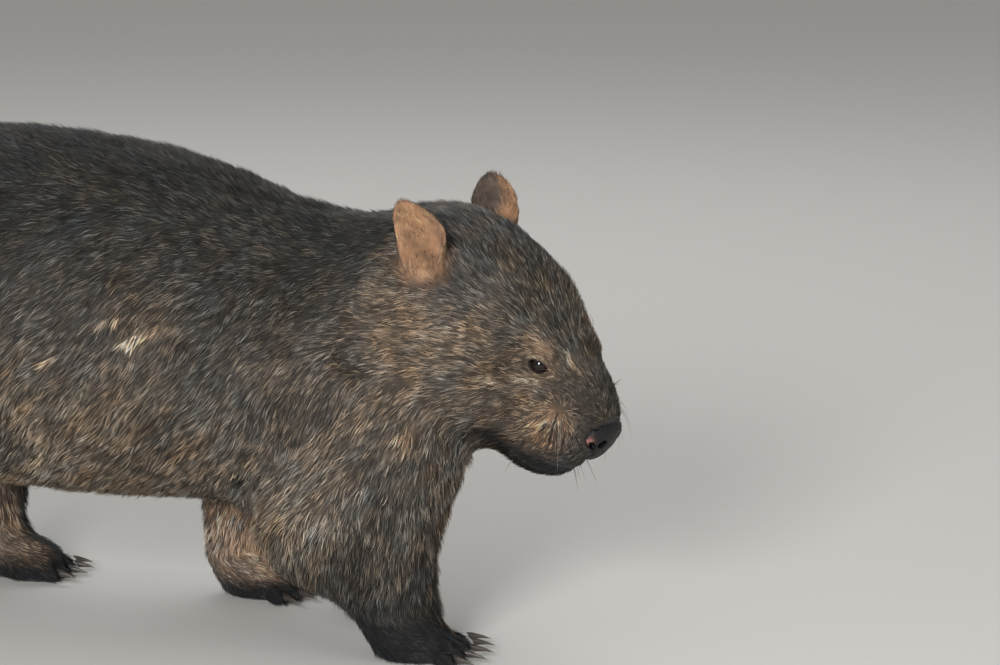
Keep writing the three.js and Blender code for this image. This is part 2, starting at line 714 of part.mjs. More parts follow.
const tailRoot = vec(RUMP_X + 14, 0, trunkMiddle - 6);
const tail = new THREE.CapsuleGeometry(13, 26, 5, 12);
tail.rotateX(Math.PI / 2).rotateY(radians(38)).translate(tailRoot.x, tailRoot.y, tailRoot.z);
place("tail", largestBody(solid(tail).subtract(swollen(torso))), coatBrown);

// The part's origin is on the ground under the middle of its box

group.updateMatrixWorld(true);
const box = new THREE.Box3().setFromObject(group, true);
const middle = box.getCenter(vec(0, 0, 0));
group.position.set(-middle.x, -middle.y, -box.min.z);

export default group;
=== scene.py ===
"""A life-size walking wombat, dressed over its solids with skin, coat, eyes, nose, claws and whiskers."""

import math

import bpy
import numpy as np
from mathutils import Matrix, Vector
from mathutils.bvhtree import BVHTree
from mathutils.kdtree import KDTree


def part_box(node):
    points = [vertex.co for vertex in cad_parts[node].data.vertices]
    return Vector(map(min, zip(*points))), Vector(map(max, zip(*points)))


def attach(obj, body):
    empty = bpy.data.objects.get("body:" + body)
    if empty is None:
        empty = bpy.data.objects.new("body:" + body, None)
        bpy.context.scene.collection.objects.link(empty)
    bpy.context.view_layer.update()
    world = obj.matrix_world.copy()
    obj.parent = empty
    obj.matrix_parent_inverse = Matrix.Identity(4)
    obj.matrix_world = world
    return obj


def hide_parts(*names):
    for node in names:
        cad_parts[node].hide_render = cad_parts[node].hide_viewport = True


bl_info = {
    "name": "Walking Wombat",
    "version": (1, 0, 0),
    "blender": (4, 5, 0),
    "location": "View3D > Sidebar > Wombat",
    "description": "Skin, coat, eyes, nose, claws and whiskers of a life-size wombat over its solids",
    "category": "Object",
}

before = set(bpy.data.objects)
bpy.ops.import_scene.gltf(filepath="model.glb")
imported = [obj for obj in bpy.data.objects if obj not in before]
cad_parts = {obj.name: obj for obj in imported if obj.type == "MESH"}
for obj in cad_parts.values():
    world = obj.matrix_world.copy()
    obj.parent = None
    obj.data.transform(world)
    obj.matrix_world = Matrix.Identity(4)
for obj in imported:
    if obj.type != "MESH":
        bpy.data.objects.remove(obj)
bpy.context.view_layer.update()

SIDES = ("right", "left")
CLAWS = [name for name in sorted(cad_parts) if name.startswith("claw_")]
BARE = CLAWS + ["nose", "eye_right", "eye_left"]
FLESH = [name for name in sorted(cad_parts) if name not in BARE]
SEED = 11


# Places on the animal, worked out from its solids


def unit(vectors):
    vectors = np.asarray(vectors, float)
    return vectors / np.maximum(np.linalg.norm(vectors, axis=-1, keepdims=True), 1e-12)


def corners_of(node):
    low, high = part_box(node)
    return np.array(low), np.array(high)


def middle_of(node):
    return sum(corners_of(node)) / 2


EYE = {side: middle_of(f"eye_{side}") for side in SIDES}
EYE_RADIUS = float(np.ptp(corners_of("eye_right"), axis=0).max()) / 2
NOSE = middle_of("nose")
EYES_BETWEEN = (EYE["right"] + EYE["left"]) / 2
NOSE_DOWN = math.radians(30)
DOWN, FORWARD = np.array([0, 0, -1.0]), np.array([1.0, 0, 0])
HEAD_LEFT = unit(EYE["left"] - EYE["right"])
LEVEL_FRONT = unit(np.cross(DOWN, HEAD_LEFT))
HEAD_FRONT = LEVEL_FRONT * math.cos(NOSE_DOWN) + np.cross(HEAD_LEFT, LEVEL_FRONT) * math.sin(NOSE_DOWN)
HEAD_UP = np.cross(HEAD_FRONT, HEAD_LEFT)
OUT = {"right": -HEAD_LEFT, "left": HEAD_LEFT}
TRUNK_LOW, TRUNK_HIGH = corners_of("torso")
TRUNK_HEIGHT = TRUNK_HIGH[2] - TRUNK_LOW[2]

# On the head, in metres forward, outward and up from the middle between the eyes
WHISKER_HUB = (0.033, 0.041, -0.021)
LIP_PAD = (0.030, 0.043, -0.036)
NOSTRIL_EDGE = (0.062, 0.025, -0.036)
MOUTH_HEIGHT = -0.068
EYE_SINK = 0.0016

# The lowest that skin and coat reach over the ground
SKIN_FLOOR, COAT_FLOOR = 0.0003, 0.0002


def in_head(points):
    """Points as forward, left and up of the middle between the eyes, along the head's own axes."""
    return (np.asarray(points) - EYES_BETWEEN) @ np.stack([HEAD_FRONT, HEAD_LEFT, HEAD_UP], axis=1)


def on_head(side, forward, outward, up):
    return EYES_BETWEEN + HEAD_FRONT * forward + OUT[side] * outward + HEAD_UP * up


def eye_axes(side):
    """Along the lids towards the nose, across them upward, and out of the eye."""
    out = unit(HEAD_FRONT * 0.24 + OUT[side] + HEAD_UP * 0.14)
    forth = unit(HEAD_FRONT - out * (HEAD_FRONT @ out))
    rise = HEAD_UP - out * (HEAD_UP @ out)
    return np.stack([forth, unit(rise - forth * (rise @ forth)), out])


def eye_seat(side):
    """The middle of an eye, which lies a little deeper than its solid."""
    return EYE[side] - eye_axes(side)[2] * EYE_SINK


# Sizes and colours that a user would change


def millimetres(name, description, value):
    return bpy.props.FloatProperty(
        name=name, description=description, unit="LENGTH", default=value / 1000, min=0, precision=4
    )


def tone(name, description, red, green, blue):
    return bpy.props.FloatVectorProperty(
        name=name,
        description=description,
        subtype="COLOR_GAMMA",
        min=0,
        max=1,
        default=(red / 255, green / 255, blue / 255),
    )


class CoatSizes(bpy.types.PropertyGroup):
    grain: millimetres("Grain", "Size of the grid that the skin is first made on", 1.7)
    bridge: millimetres("Bridge", "How far ears, feet and face are swollen so that they meet", 1.7)
    fold: millimetres("Fold", "How far the rest is swollen, so that folds between the parts close", 4.5)
    skin_faces: bpy.props.IntProperty(
        name="Skin faces", description="Most triangles in the skin", default=180_000, min=20_000
    )
    fullness: bpy.props.FloatProperty(
        name="Fullness", description="Number of tufts, as a share of the full coat", default=1.0, min=0.01
    )
    clumping: bpy.props.FloatProperty(
        name="Clumping", description="How far the tips of neighbouring tufts draw together",
        default=0.42, min=0,
    )
    whiskers: bpy.props.IntProperty(
        name="Whiskers", description="Whiskers on each side of the muzzle", default=40, min=0
    )
    whisker_width: millimetres("Whisker width", "Thickness of a whisker at its root", 0.8)


class HeadSizes(bpy.types.PropertyGroup):
    lid_length: millimetres("Lid length", "Half the length of the opening between the lids", 7.8)
    lid_upper: millimetres("Upper lid", "Height of the opening over its middle line", 3.8)
    lid_lower: millimetres("Lower lid", "Depth of the opening under its middle line", 5.4)
    iris: millimetres("Iris", "Radius of the iris", 6.2)
    cornea: millimetres("Cornea", "How far the cornea stands out of the ball of the eye", 0.8)
    pebble: millimetres("Pebble", "Width of the grains of the nose pad", 1.3)


class CoatColours(bpy.types.PropertyGroup):
    # These trunk tones, darker towards the back, are partly the hair's own and partly painted shade where
    # light falls off over the top of the trunk
    back: tone("Back", "Hair along the back and rump", 37, 37, 36)
    flank_high: tone("Upper flank", "Hair below the back", 70, 67, 62)
    flank: tone("Flank", "Hair in the middle of the side", 106, 96, 84)
    flank_low: tone("Lower flank", "Hair above the belly", 144, 130, 113)
    belly: tone("Belly", "Hair under the trunk", 126, 110, 90)
    crown: tone("Crown", "Hair between and before the ears", 86, 82, 77)
    brow: tone("Brow", "Hair on the forehead", 112, 103, 91)
    cheek: tone("Cheek", "Hair on the cheek", 120, 105, 89)
    muzzle: tone("Muzzle", "Hair round the nose", 100, 90, 80)
    # These spots are partly darker hair and partly painted shade, on the brow, before the eye and under it
    dark_hair_and_shade: tone("Dusk", "Darker hair on the brow and under the eye", 66, 66, 62)
    lip: tone("Lip", "Hair of the upper lip, where the whiskers stand", 222, 178, 138)
    eye_ring: tone("Eye ring", "Hair over and round the eye", 222, 180, 143)
    scar: tone("Scar", "Short pale hair over old scars", 236, 202, 168)
    chin: tone("Chin", "Hair under the mouth", 30, 31, 32)
    ear_back: tone("Ear, back", "Hair on the back of the ear", 96, 82, 72)
    ear_inside: tone("Ear, inside", "Thin hair and skin in the cup of the ear", 160, 122, 92)
    leg: tone("Leg", "Hair of the lower legs", 70, 69, 67)
    leg_inside: tone("Leg, inside", "Hair on the inner side of the legs", 190, 162, 138)
    paw: tone("Paw", "Hair over the toes", 34, 35, 36)
    skin: tone("Skin", "Bare skin of the lids, lips and soles", 30, 26, 26)
    # The nose pad is dark leather, made darker still as painted shade over the nose
    nose: tone("Nose", "Leathery skin of the nose pad", 26, 24, 25)
    nose_pink: tone("Nose, pink", "Bare pink edge of the nostril", 168, 112, 108)
    claw_root: tone("Claw, root", "Horn at the root of a claw", 48, 42, 38)
    claw_tip: tone("Claw, tip", "Worn horn at the tip of a claw", 104, 94, 82)


class StageSizes(bpy.types.PropertyGroup):
    turn: bpy.props.FloatProperty(
        name="Turn", description="Camera's angle from the animal's right side", subtype="ANGLE",
        default=math.radians(15),
    )
    height: bpy.props.FloatProperty(
        name="Height", description="Camera's angle above the horizon", subtype="ANGLE",
        default=math.radians(11),
    )
    distance: millimetres("Distance", "Camera's distance from what it looks at", 3200)
    lens: bpy.props.FloatProperty(
        name="Lens", description="Focal length", subtype="DISTANCE_CAMERA", default=144.0
    )
    floor: tone("Floor", "The plain floor", 214, 212, 208)


# How the coat grows, part by part


class Growth:
    """Depth, length and width in millimetres, tufts per square centimetre and their lift in degrees."""

    def __init__(self, depth, length, width, count, lift):
        self.depth, self.length, self.width = depth / 1000, length / 1000, width / 1000
        self.count, self.lift = count, math.radians(lift)

    def row(self):
        return [self.depth, self.length, self.width, self.count, self.lift]


GROWTH = {
    "torso": Growth(5.4, 12.6, 0.92, 34, 36),
    "neck": Growth(5.2, 12, 0.88, 37, 35),
    "head": Growth(3.9, 10.4, 0.72, 58, 25),
    "ear": Growth(-0.2, 5.5, 0.36, 95, 13),
    "tail": Growth(5, 13, 0.9, 30, 32),
    "upper_arm": Growth(5.8, 14, 0.94, 32, 34),
    "forearm": Growth(5.4, 13.5, 0.86, 36, 32),
    "forepaw": Growth(2.8, 8.5, 0.62, 46, 24),
    "thigh": Growth(5.8, 14, 0.94, 31, 34),
    "shin": Growth(5, 13, 0.86, 34, 32),
    "hindfoot": Growth(2.8, 8.5, 0.62, 42, 24),
}
MUZZLE_GROWTH = Growth(1.6, 7.6, 0.68, 80, 21)
LID_GROWTH = Growth(0.7, 4.8, 0.44, 100, 15)
BARE_GROWTH = Growth(0.6, 3, 0.4, 0, 20)

# Columns of a row of growth
DEPTH, COUNT = 0, 3


def kind_of(node):
    return node.removesuffix("_right").removesuffix("_left")


def stream(node, points):
    """The way that hair points from root to tip, before it is laid along the skin."""
    kind, side = kind_of(node), node.split("_")[-1]
    if kind == "head":
        return head_stream(points)
    if kind == "ear":
        return np.broadcast_to(long_axis(node), points.shape)
    if kind in ("forepaw", "hindfoot"):
        return np.broadcast_to(unit(FORWARD + 0.35 * DOWN), points.shape)
    if kind in ("forearm", "shin"):
        return np.broadcast_to(unit(DOWN - 0.12 * FORWARD), points.shape)
    if kind == "tail":
        return np.broadcast_to(unit(DOWN - 0.5 * FORWARD), points.shape)
    height = np.clip((points[:, 2:3] - TRUNK_LOW[2]) / TRUNK_HEIGHT, 0, 1)
    fall = {"torso": 1.35, "neck": 1.0, "upper_arm": 2.6, "thigh": 2.0}[kind]
    return unit(DOWN * fall * (1 - height**6) - FORWARD)


def head_stream(points):
    """Hair runs back from the nose, level over the cheeks, and out from the whiskers' hub on each lip."""
    cheek = (1 - ramp(in_head(points)[:, 2:3], 0.005, 0.055)) * 0.6
    way = unit(unit(points - NOSE) - HEAD_UP * cheek)
    for side in SIDES:
        pad = near(points, on_head(side, *LIP_PAD), 0.026)
        way = unit(blend(way, unit(points - on_head(side, *WHISKER_HUB)), pad * 1.7))
    return way


def main_axis(points):
    """The way in which points spread the furthest."""
    return np.linalg.svd(points - points.mean(axis=0), full_matrices=False)[2][0]


def long_axis(node):
    """From the root to the tip of an ear."""
    axis = main_axis(points_of(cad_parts[node].data))
    return unit(axis * np.sign(axis @ HEAD_UP))


def along_skin(vectors, normals):
    """What is left of vectors in the plane of the skin."""
    return vectors - normals * (vectors * normals).sum(axis=1, keepdims=True)


# Ripples, blends and colours


def ripple(points, size, seed):
    """Smooth noise of about unit spread, whose humps are about as wide as size."""
    draw = np.random.default_rng(seed)
    waves = unit(draw.normal(size=(9, 3))) * draw.uniform(0.6, 1.5, (9, 1)) * math.pi / size
    phases = draw.uniform(0, math.tau, 9)
    return np.sin(points @ waves.T + phases).sum(axis=1) / math.sqrt(4.5)


def linear(colour):
    colour = np.asarray(colour, float)
    return np.where(colour <= 0.04045, colour / 12.92, ((colour + 0.055) / 1.055) ** 2.4)


def blend(base, over, share):
    share = np.clip(np.asarray(share, float), 0, 1)[:, None]
    return base * (1 - share) + over * share


def near(points, place, radius):
    """1 at a place, falling smoothly to 0 past its radius."""
    distance = np.linalg.norm(points - place, axis=1) / radius
    return np.exp(-(distance**2) * 1.6)


def ramp(values, start, end):
    share = np.clip((values - start) / (end - start), 0, 1)
    return share * share * (3 - 2 * share)


# Old scars with pale hair: one end, the other end and the width, in metres
SCARS = [
    ((-0.005, -0.143, 0.239), (0.003, -0.143, 0.244), 0.0026),
    ((0.037, -0.138, 0.273), (0.053, -0.138, 0.282), 0.0026),
    ((0.062, -0.136, 0.260), (0.087, -0.136, 0.273), 0.0028),
    ((0.286, -0.128, 0.196), (0.292, -0.128, 0.195), 0.004),
    (on_head("right", -0.020, 0.071, -0.019), on_head("right", -0.008, 0.069, -0.023), 0.0022),
    (on_head("right", 0.014, 0.0225, 0.014), on_head("right", 0.020, 0.0222, 0.008), 0.0024),
]
SCAR_REACH = 0.02


def with_scars(points, normals, colour):
    """The colour with the scars over it, on skin no further above or below them than their reach."""
    share = np.zeros(len(points))
    for start, end, width in SCARS:
        start, way = np.array(start), np.subtract(end, start)
        along = np.clip((points - start) @ way / (way @ way), 0, 1)
        away = points - start - along[:, None] * way
        aside = np.linalg.norm(along_skin(away, normals), axis=1)
        close = np.abs((away * normals).sum(axis=1)) < SCAR_REACH
        share = np.maximum(share, (1 - ramp(aside, width * 0.6, width * 1.6)) * close)
    return blend(colour, linear(bpy.context.scene.coat_colours.scar), share)


# Bands of the trunk: the height as a share of the trunk's, and the colour. The trunk darkens towards the
# back partly in its own hair and partly as painted shade, where light falls off over the top.
TRUNK_BANDS = [(0.02, "belly"), (0.14, "flank_low"), (0.48, "flank"), (0.78, "flank_high"), (0.97, "back")]

# Spots of each side of the face: the place on the head, the radius, the colour and its strength; the darker
# spots are partly painted shade
FACE_SPOTS = [
    ((-0.0035, 0.041, 0.014), 0.012, "eye_ring", 0.95),
    ((0.010, 0.040, 0.002), 0.010, "eye_ring", 0.45),
    ((0.004, 0.047, -0.009), 0.009, "eye_ring", 0.6),
    ((0.002, 0.020, 0.027), 0.015, "dark_hair_and_shade", 0.65),
    ((0.026, 0.040, -0.007), 0.012, "dark_hair_and_shade", 0.65),
    ((0.002, 0.052, -0.034), 0.020, "dark_hair_and_shade", 0.35),
    (LIP_PAD, 0.017, "lip", 1.0),
]


def markings(points, normals, shares):
    """The colour of the coat at points of the skin, where shares tells how much of each part is there."""
    tones = bpy.context.scene.coat_colours
    height = (points[:, 2] - TRUNK_LOW[2]) / TRUNK_HEIGHT + 0.05 * ripple(points, 0.12, 21)
    marks = [mark for mark, _ in TRUNK_BANDS]
    bands = np.array([linear(getattr(tones, name)) for _, name in TRUNK_BANDS])
    colour = np.stack([np.interp(height, marks, bands[:, i]) for i in range(3)], axis=1)
    low_leg = shares["forearm"] + shares["shin"]
    colour = blend(colour, linear(tones.leg), low_leg * 0.95)
    paws = shares["forepaw"] + shares["hindfoot"]
    wrist = ramp(-points[:, 2] + 0.006 * ripple(points, 0.02, 22), -0.070, -0.030)
    colour = blend(colour, linear(tones.paw), paws + wrist * low_leg * 0.8)
    inward = ramp(-normals[:, 1] * np.sign(points[:, 1]), 0.1, 0.7) * ramp(points[:, 2], 0.010, 0.030)
    foreleg = shares["upper_arm"] + shares["forearm"] + shares["forepaw"]
    hindleg = shares["thigh"] + shares["shin"] + shares["hindfoot"]
    colour = blend(colour, linear(tones.leg_inside), inward * (foreleg * 0.85 + hindleg * 0.5))
    colour = blend(colour, face_markings(points), shares["head"] + shares["ear"])
    return ear_colours(points, normals, colour, shares["ear"])


def face_markings(points):
    tones = bpy.context.scene.coat_colours
    forward, _, up = in_head(points).T
    up = up + 0.004 * ripple(points, 0.03, 5)
    colour = np.broadcast_to(linear(tones.cheek), points.shape)
    top = ramp(up, -0.002, 0.030)
    colour = blend(colour, linear(tones.brow), top)
    colour = blend(colour, linear(tones.crown), top * ramp(-forward, 0.02, 0.09))
    colour = blend(colour, linear(tones.muzzle), ramp(forward, 0.012, 0.040) * 0.9)
    under = ramp(-up, 0.058, 0.072) * ramp(forward, -0.03, 0.0)
    colour = blend(colour, linear(tones.chin), under)
    for side in SIDES:
        for place, radius, name, strength in FACE_SPOTS:
            spot = near(points, on_head(side, *place), radius) * (1 + 0.15 * ripple(points, 0.005, 8))
            colour = blend(colour, linear(getattr(tones, name)), spot * strength * (1 - under))
    return colour


def ear_colours(points, normals, colour, share):
    """The cup of an ear is warm and pale, with painted shade deepening towards its middle, and its back is
    as dark as the crown.
    """
    tones = bpy.context.scene.coat_colours
    blotch = 1 + 0.16 * ripple(points, 0.011, 12) + 0.10 * ripple(points, 0.004, 13)
    blotch = np.clip(blotch, 0.5, 1.5)[:, None]
    for side in SIDES:
        cup = unit(HEAD_FRONT * 0.75 + OUT[side] * 0.65)
        mine = share * ((points - EYES_BETWEEN) @ OUT[side] > 0)
        # Painted shade: the cup of the ear is darker towards its middle
        cup_shade = near(points, middle_of("ear_" + side), 0.016)[:, None]
        colour = blend(colour, linear(tones.ear_back) * blotch, mine)
        inside = linear(tones.ear_inside) * blotch * (1.1 - 0.35 * cup_shade)
        colour = blend(colour, inside, mine * ramp(normals @ cup, -0.6, -0.25))
    return colour


# Making and reading meshes


def select_only(*objects):
    bpy.ops.object.select_all(action="DESELECT")
    for item in objects:
        item.select_set(True)
    bpy.context.view_layer.objects.active = objects[-1]


def copy_of(nodes, name):
    """One object with the surfaces of some solids, their doubled corners merged."""
    copies = []
    for node in nodes:
        twin = bpy.data.objects.new(name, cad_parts[node].data.copy())
        twin.data.materials.clear()
        bpy.context.scene.collection.objects.link(twin)
        copies.append(twin)
    select_only(*copies)
    if len(copies) > 1:
        bpy.ops.object.join()
    joined = bpy.context.view_layer.objects.active
    joined.name = name
    joined.data.name = name
    bpy.ops.object.mode_set(mode="EDIT")
    bpy.ops.mesh.select_all(action="SELECT")
    bpy.ops.mesh.remove_doubles(threshold=0.000005)
    bpy.ops.object.mode_set(mode="OBJECT")
    return joined


def finish_with(item, kind, **settings):
    """Adds a modifier, sets it and applies it."""
    select_only(item)
    modifier = item.modifiers.new(kind.title(), kind)
    for name, value in settings.items():
        setattr(modifier, name, value)
    bpy.ops.object.modifier_apply(modifier=modifier.name)


def dress(item, material, slot, *nodes):
    """Gives a finished piece its material, and its place in the frame instead of some solids."""
    select_only(item)
    bpy.ops.object.shade_smooth()
    item.data.materials.clear()
    item.data.materials.append(material)
    if nodes:
        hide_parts(*nodes)
    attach(item, "root")


def rows_of(items, field, width, kind=np.float32):
    """A row of numbers for each item of a mesh."""
    values = np.empty(len(items) * width, kind)
    items.foreach_get(field, values)
    return values.reshape(-1, width)


def points_of(mesh):
    return rows_of(mesh.vertices, "co", 3).astype(float)


def normals_of(mesh):
    return rows_of(mesh.vertex_normals, "vector", 3).astype(float)


def edges_of(mesh):
    return rows_of(mesh.edges, "vertices", 2, np.int32)


def triangles_of(mesh):
    mesh.calc_loop_triangles()
    return rows_of(mesh.loop_triangles, "vertices", 3, np.int32)


def move_to(mesh, points):
    mesh.vertices.foreach_set("co", points.astype(np.float32).ravel())
    mesh.update()


def store(mesh, name, kind, values):
    """Writes one value for each point of a mesh as a named attribute."""
    attribute = mesh.attributes.new(name, kind, "POINT")
    field = {"FLOAT": "value", "FLOAT_VECTOR": "vector", "FLOAT_COLOR": "color"}[kind]
    attribute.data.foreach_set(field, values.astype(np.float32).ravel())


def store_colour(mesh, colours):
    store(mesh, "coat_colour", "FLOAT_COLOR", np.c_[colours, np.ones(len(colours))])


def read(mesh, name, width):
    return rows_of(mesh.attributes[name].data, {1: "value", 3: "vector"}[width], width).astype(float)


def weigh(item, name, weights):
    """Stores a weight from 0 to 1 for each point of an object, under a name."""
    group = item.vertex_groups.new(name=name)
    for index, weight in enumerate(weights):
        group.add([index], float(weight), "REPLACE")


def diffuse(values, edges, rounds):
    """Evens values out over the mesh: each point takes the mean of itself and its neighbours."""
    count = len(values)
    beside = np.bincount(edges.ravel(), minlength=count) + 1.0
    for _ in range(rounds):
        total = values.copy()
        for column in range(values.shape[1]):
            total[:, column] += np.bincount(edges[:, 0], values[edges[:, 1], column], count)
            total[:, column] += np.bincount(edges[:, 1], values[edges[:, 0], column], count)
        values = total / beside[:, None]
    return values


def tree_of(places):
    tree = KDTree(len(places))
    for index, place in enumerate(places):
        tree.insert(place, index)
    tree.balance()
    return tree


def nearest_of(places, points):
    """For each point, the number of the place nearest to it."""
    tree = tree_of(places)
    return np.array([tree.find(point)[1] for point in points])


def gap_to(node, points, reach):
    """How far points are from the surface of a solid, for those within reach of its middle."""
    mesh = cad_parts[node].data
    tree = BVHTree.FromPolygons(points_of(mesh).tolist(), triangles_of(mesh).tolist())
    gap = np.linalg.norm(points - middle_of(node), axis=1)
    for index in np.flatnonzero(gap < reach):
        gap[index] = tree.find_nearest(points[index])[3]
    return gap


def new_mesh(name, points, faces):
    """An object from arrays of points and triangles."""
    mesh = bpy.data.meshes.new(name)
    mesh.vertices.add(len(points))
    mesh.vertices.foreach_set("co", points.astype(np.float32).ravel())
    mesh.loops.add(faces.size)
    mesh.loops.foreach_set("vertex_index", faces.astype(np.int32).ravel())
    mesh.polygons.add(len(faces))
    mesh.polygons.foreach_set("loop_start", np.arange(0, faces.size, 3, dtype=np.int32))
    mesh.update(calc_edges=True)
    item = bpy.data.objects.new(name, mesh)
    bpy.context.scene.collection.objects.link(item)
    return item


# Materials


def node_material(name):
    material = bpy.data.materials.new(name)
    material.use_nodes = True
    return material, material.node_tree.nodes, material.node_tree.links


def set_inputs(node, **values):
    """Sets inputs of a node by their names, with underscores for spaces."""
    for name, value in values.items():
        node.inputs[name.replace("_", " ")].default_value = value


def mottle(material, colour, pattern, low, high):
    """Gives a material a colour, times low where a pattern is 0 and times high where it is 1."""
    nodes, links = material.node_tree.nodes, material.node_tree.links
    shade = nodes.new("ShaderNodeMapRange")
    set_inputs(shade, To_Min=low, To_Max=high)
    links.new(pattern, shade.inputs["Value"])
    mottled = nodes.new("ShaderNodeVectorMath")
    mottled.operation = "SCALE"
    links.new(colour, mottled.inputs["Vector"])
    links.new(shade.outputs["Result"], mottled.inputs["Scale"])
    links.new(mottled.outputs["Vector"], nodes["Principled BSDF"].inputs["Base Color"])


def coloured_material(name, roughness, specular, grain=0, relief=0, sheen=0, pattern="ShaderNodeTexNoise"):
    """Takes its colour from the coat_colour attribute; a pattern of grain metres mottles and embosses it."""
    material, nodes, links = node_material(name)
    shader = nodes["Principled BSDF"]
    set_inputs(shader, Roughness=roughness, Specular_IOR_Level=specular)
    set_inputs(shader, Sheen_Weight=sheen, Sheen_Roughness=0.5)
    colour = nodes.new("ShaderNodeVertexColor")
    colour.layer_name = "coat_colour"
    links.new(colour.outputs["Color"], shader.inputs["Base Color"])
    if grain:
        place = nodes.new("ShaderNodeTexCoord")
        texture = nodes.new(pattern)
        height = texture.outputs["Distance" if pattern == "ShaderNodeTexVoronoi" else "Fac"]
        set_inputs(texture, Scale=1 / grain)
        links.new(place.outputs["Object"], texture.inputs["Vector"])
        bump = nodes.new("ShaderNodeBump")
        bump.invert = pattern == "ShaderNodeTexVoronoi"
        set_inputs(bump, Strength=0.7, Distance=relief)
        links.new(height, bump.inputs["Height"])
        links.new(bump.outputs["Normal"], shader.inputs["Normal"])
        mottle(material, colour.outputs["Color"], height, 1.2, 0.75)
    return material


# The skin


def part_shares(points, edges, rounds):
    """How much of each kind of part lies at each point, evened out over the skin, and its nearest node."""
    centres, owners = [], []
    for index, node in enumerate(FLESH):
        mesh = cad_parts[node].data
        middles = points_of(mesh)[triangles_of(mesh)].mean(axis=1)
        centres.append(middles)
        owners.append(np.full(len(middles), index))
    nearest = np.concatenate(owners)[nearest_of(np.concatenate(centres), points)]
    kinds = list(GROWTH)
    shares = np.zeros((len(points), len(kinds)))
    shares[np.arange(len(points)), [kinds.index(kind_of(FLESH[i])) for i in nearest]] = 1
    shares = diffuse(shares, edges, rounds)
    return {kind: shares[:, i] for i, kind in enumerate(kinds)}, nearest


def growth_at(points, normals, shares):
    """Depth, length, width, count and lift of the coat at each point of the skin."""
    growth = sum(shares[kind][:, None] * np.array(GROWTH[kind].row()) for kind in GROWTH)
    forward, _, up = in_head(points).T
    growth = blend(growth, np.array(MUZZLE_GROWTH.row()), ramp(forward, -0.004, 0.036) * shares["head"])
    for side in SIDES:
        lid = near(points, EYE[side], 0.017) * shares["head"]
        growth = blend(growth, np.array(LID_GROWTH.row()), lid * 1.3)
    mouth = np.exp(-(((up - MOUTH_HEIGHT) / 0.0035) ** 2)) * ramp(forward, 0.012, 0.030) * shares["head"]
    paws = shares["forepaw"] + shares["hindfoot"]
    sole = ramp(-normals[:, 2], 0.5, 0.8) * ramp(-points[:, 2], -0.014, -0.006) * paws
    growth[:, DEPTH] *= ramp(gap_to("nose", points, 0.05), 0.0018, 0.007)
    return blend(growth, np.array(BARE_GROWTH.row()), np.maximum(mouth, sole) * 1.2)


def detail_at(points, shares):
    """1 on the ears, feet and face, whose shape is kept, and 0 on the rest, which is evened out."""
    forward, _, up = in_head(points).T
    behind = np.maximum(ramp(-forward, 0.0, 0.03), ramp(-up, 0.072, 0.085))
    detail = shares["ear"] + shares["forepaw"] + shares["hindfoot"] + shares["head"] * (1 - behind)
    for side in SIDES:
        detail = detail + near(points, middle_of("ear_" + side), 0.045) * 1.5
    return np.clip(detail, 0, 1)


def swelling(points, shares):
    """How far the solids are swollen before they are joined."""
    sizes = bpy.context.scene.coat_sizes
    return sizes.fold + (sizes.bridge - sizes.fold) * detail_at(points, shares)


def in_folds(mesh, reach):
    """1 at points in a narrow fold, where a line straight out of the skin meets it again within reach."""
    points, normals = points_of(mesh), normals_of(mesh)
    tree = BVHTree.FromPolygons(points.tolist(), triangles_of(mesh).tolist())
    found = np.zeros(len(points))
    for index in np.flatnonzero(reach > 0):
        start = points[index] + normals[index] * 0.0003
        found[index] = tree.ray_cast(start, normals[index], reach[index])[0] is not None
    return found


def lie_at(points, normals, nearest, edges):
    """The lie of the coat along the skin, flowing smoothly from part to part."""
    lie = np.zeros_like(points)
    for index, node in enumerate(FLESH):
        mine = nearest == index
        lie[mine] = stream(node, points[mine])
    lie = diffuse(along_skin(lie, normals), edges, 12)
    return unit(along_skin(lie, normals))


# Reach of the lids along and across the eye: the dome that they follow, their edge, and the skin they hide
LID_DOME = (0.0165, 0.0130)
LID_EDGE = (0.0138, 0.0112)
LID_COVER = (0.0128, 0.0102)
LID_THICKNESS = 0.0014

# Points round a lid, and the rows of them on its bare rim
LID_AROUND = 72
LID_BARE_ROWS = 5

# Brightness of the skin under the coat, as a share of the hair's own: painted shade among the hairs
UNDERCOAT_PAINTED_SHADE = 0.26


def lid_height(along, over):
    """How far the outer face of the lids stands out of the middle of the eye."""
    fold = 0.0007 * np.exp(-(((over - 0.0066) / 0.0011) ** 2)) * (over > 0)
    round_off = 1 - (along / LID_DOME[0]) ** 2 - (over / LID_DOME[1]) ** 2
    return (EYE_RADIUS + LID_THICKNESS) * np.sqrt(np.maximum(round_off, 0.05)) - fold


def face_height(side, skin, flat):
    """How far the skin of the face stands out beside an eye, over points given along and across the lids."""
    around = (skin - eye_seat(side)) @ eye_axes(side).T
    around = around[(np.hypot(around[:, 0], around[:, 1]) < 0.022) & (around[:, 2] > -EYE_RADIUS)]
    tree = tree_of(around * [1, 1, 0])
    return np.array([np.mean([around[found[1], 2] for found in tree.find_n((*p, 0), 6)]) for p in flat])


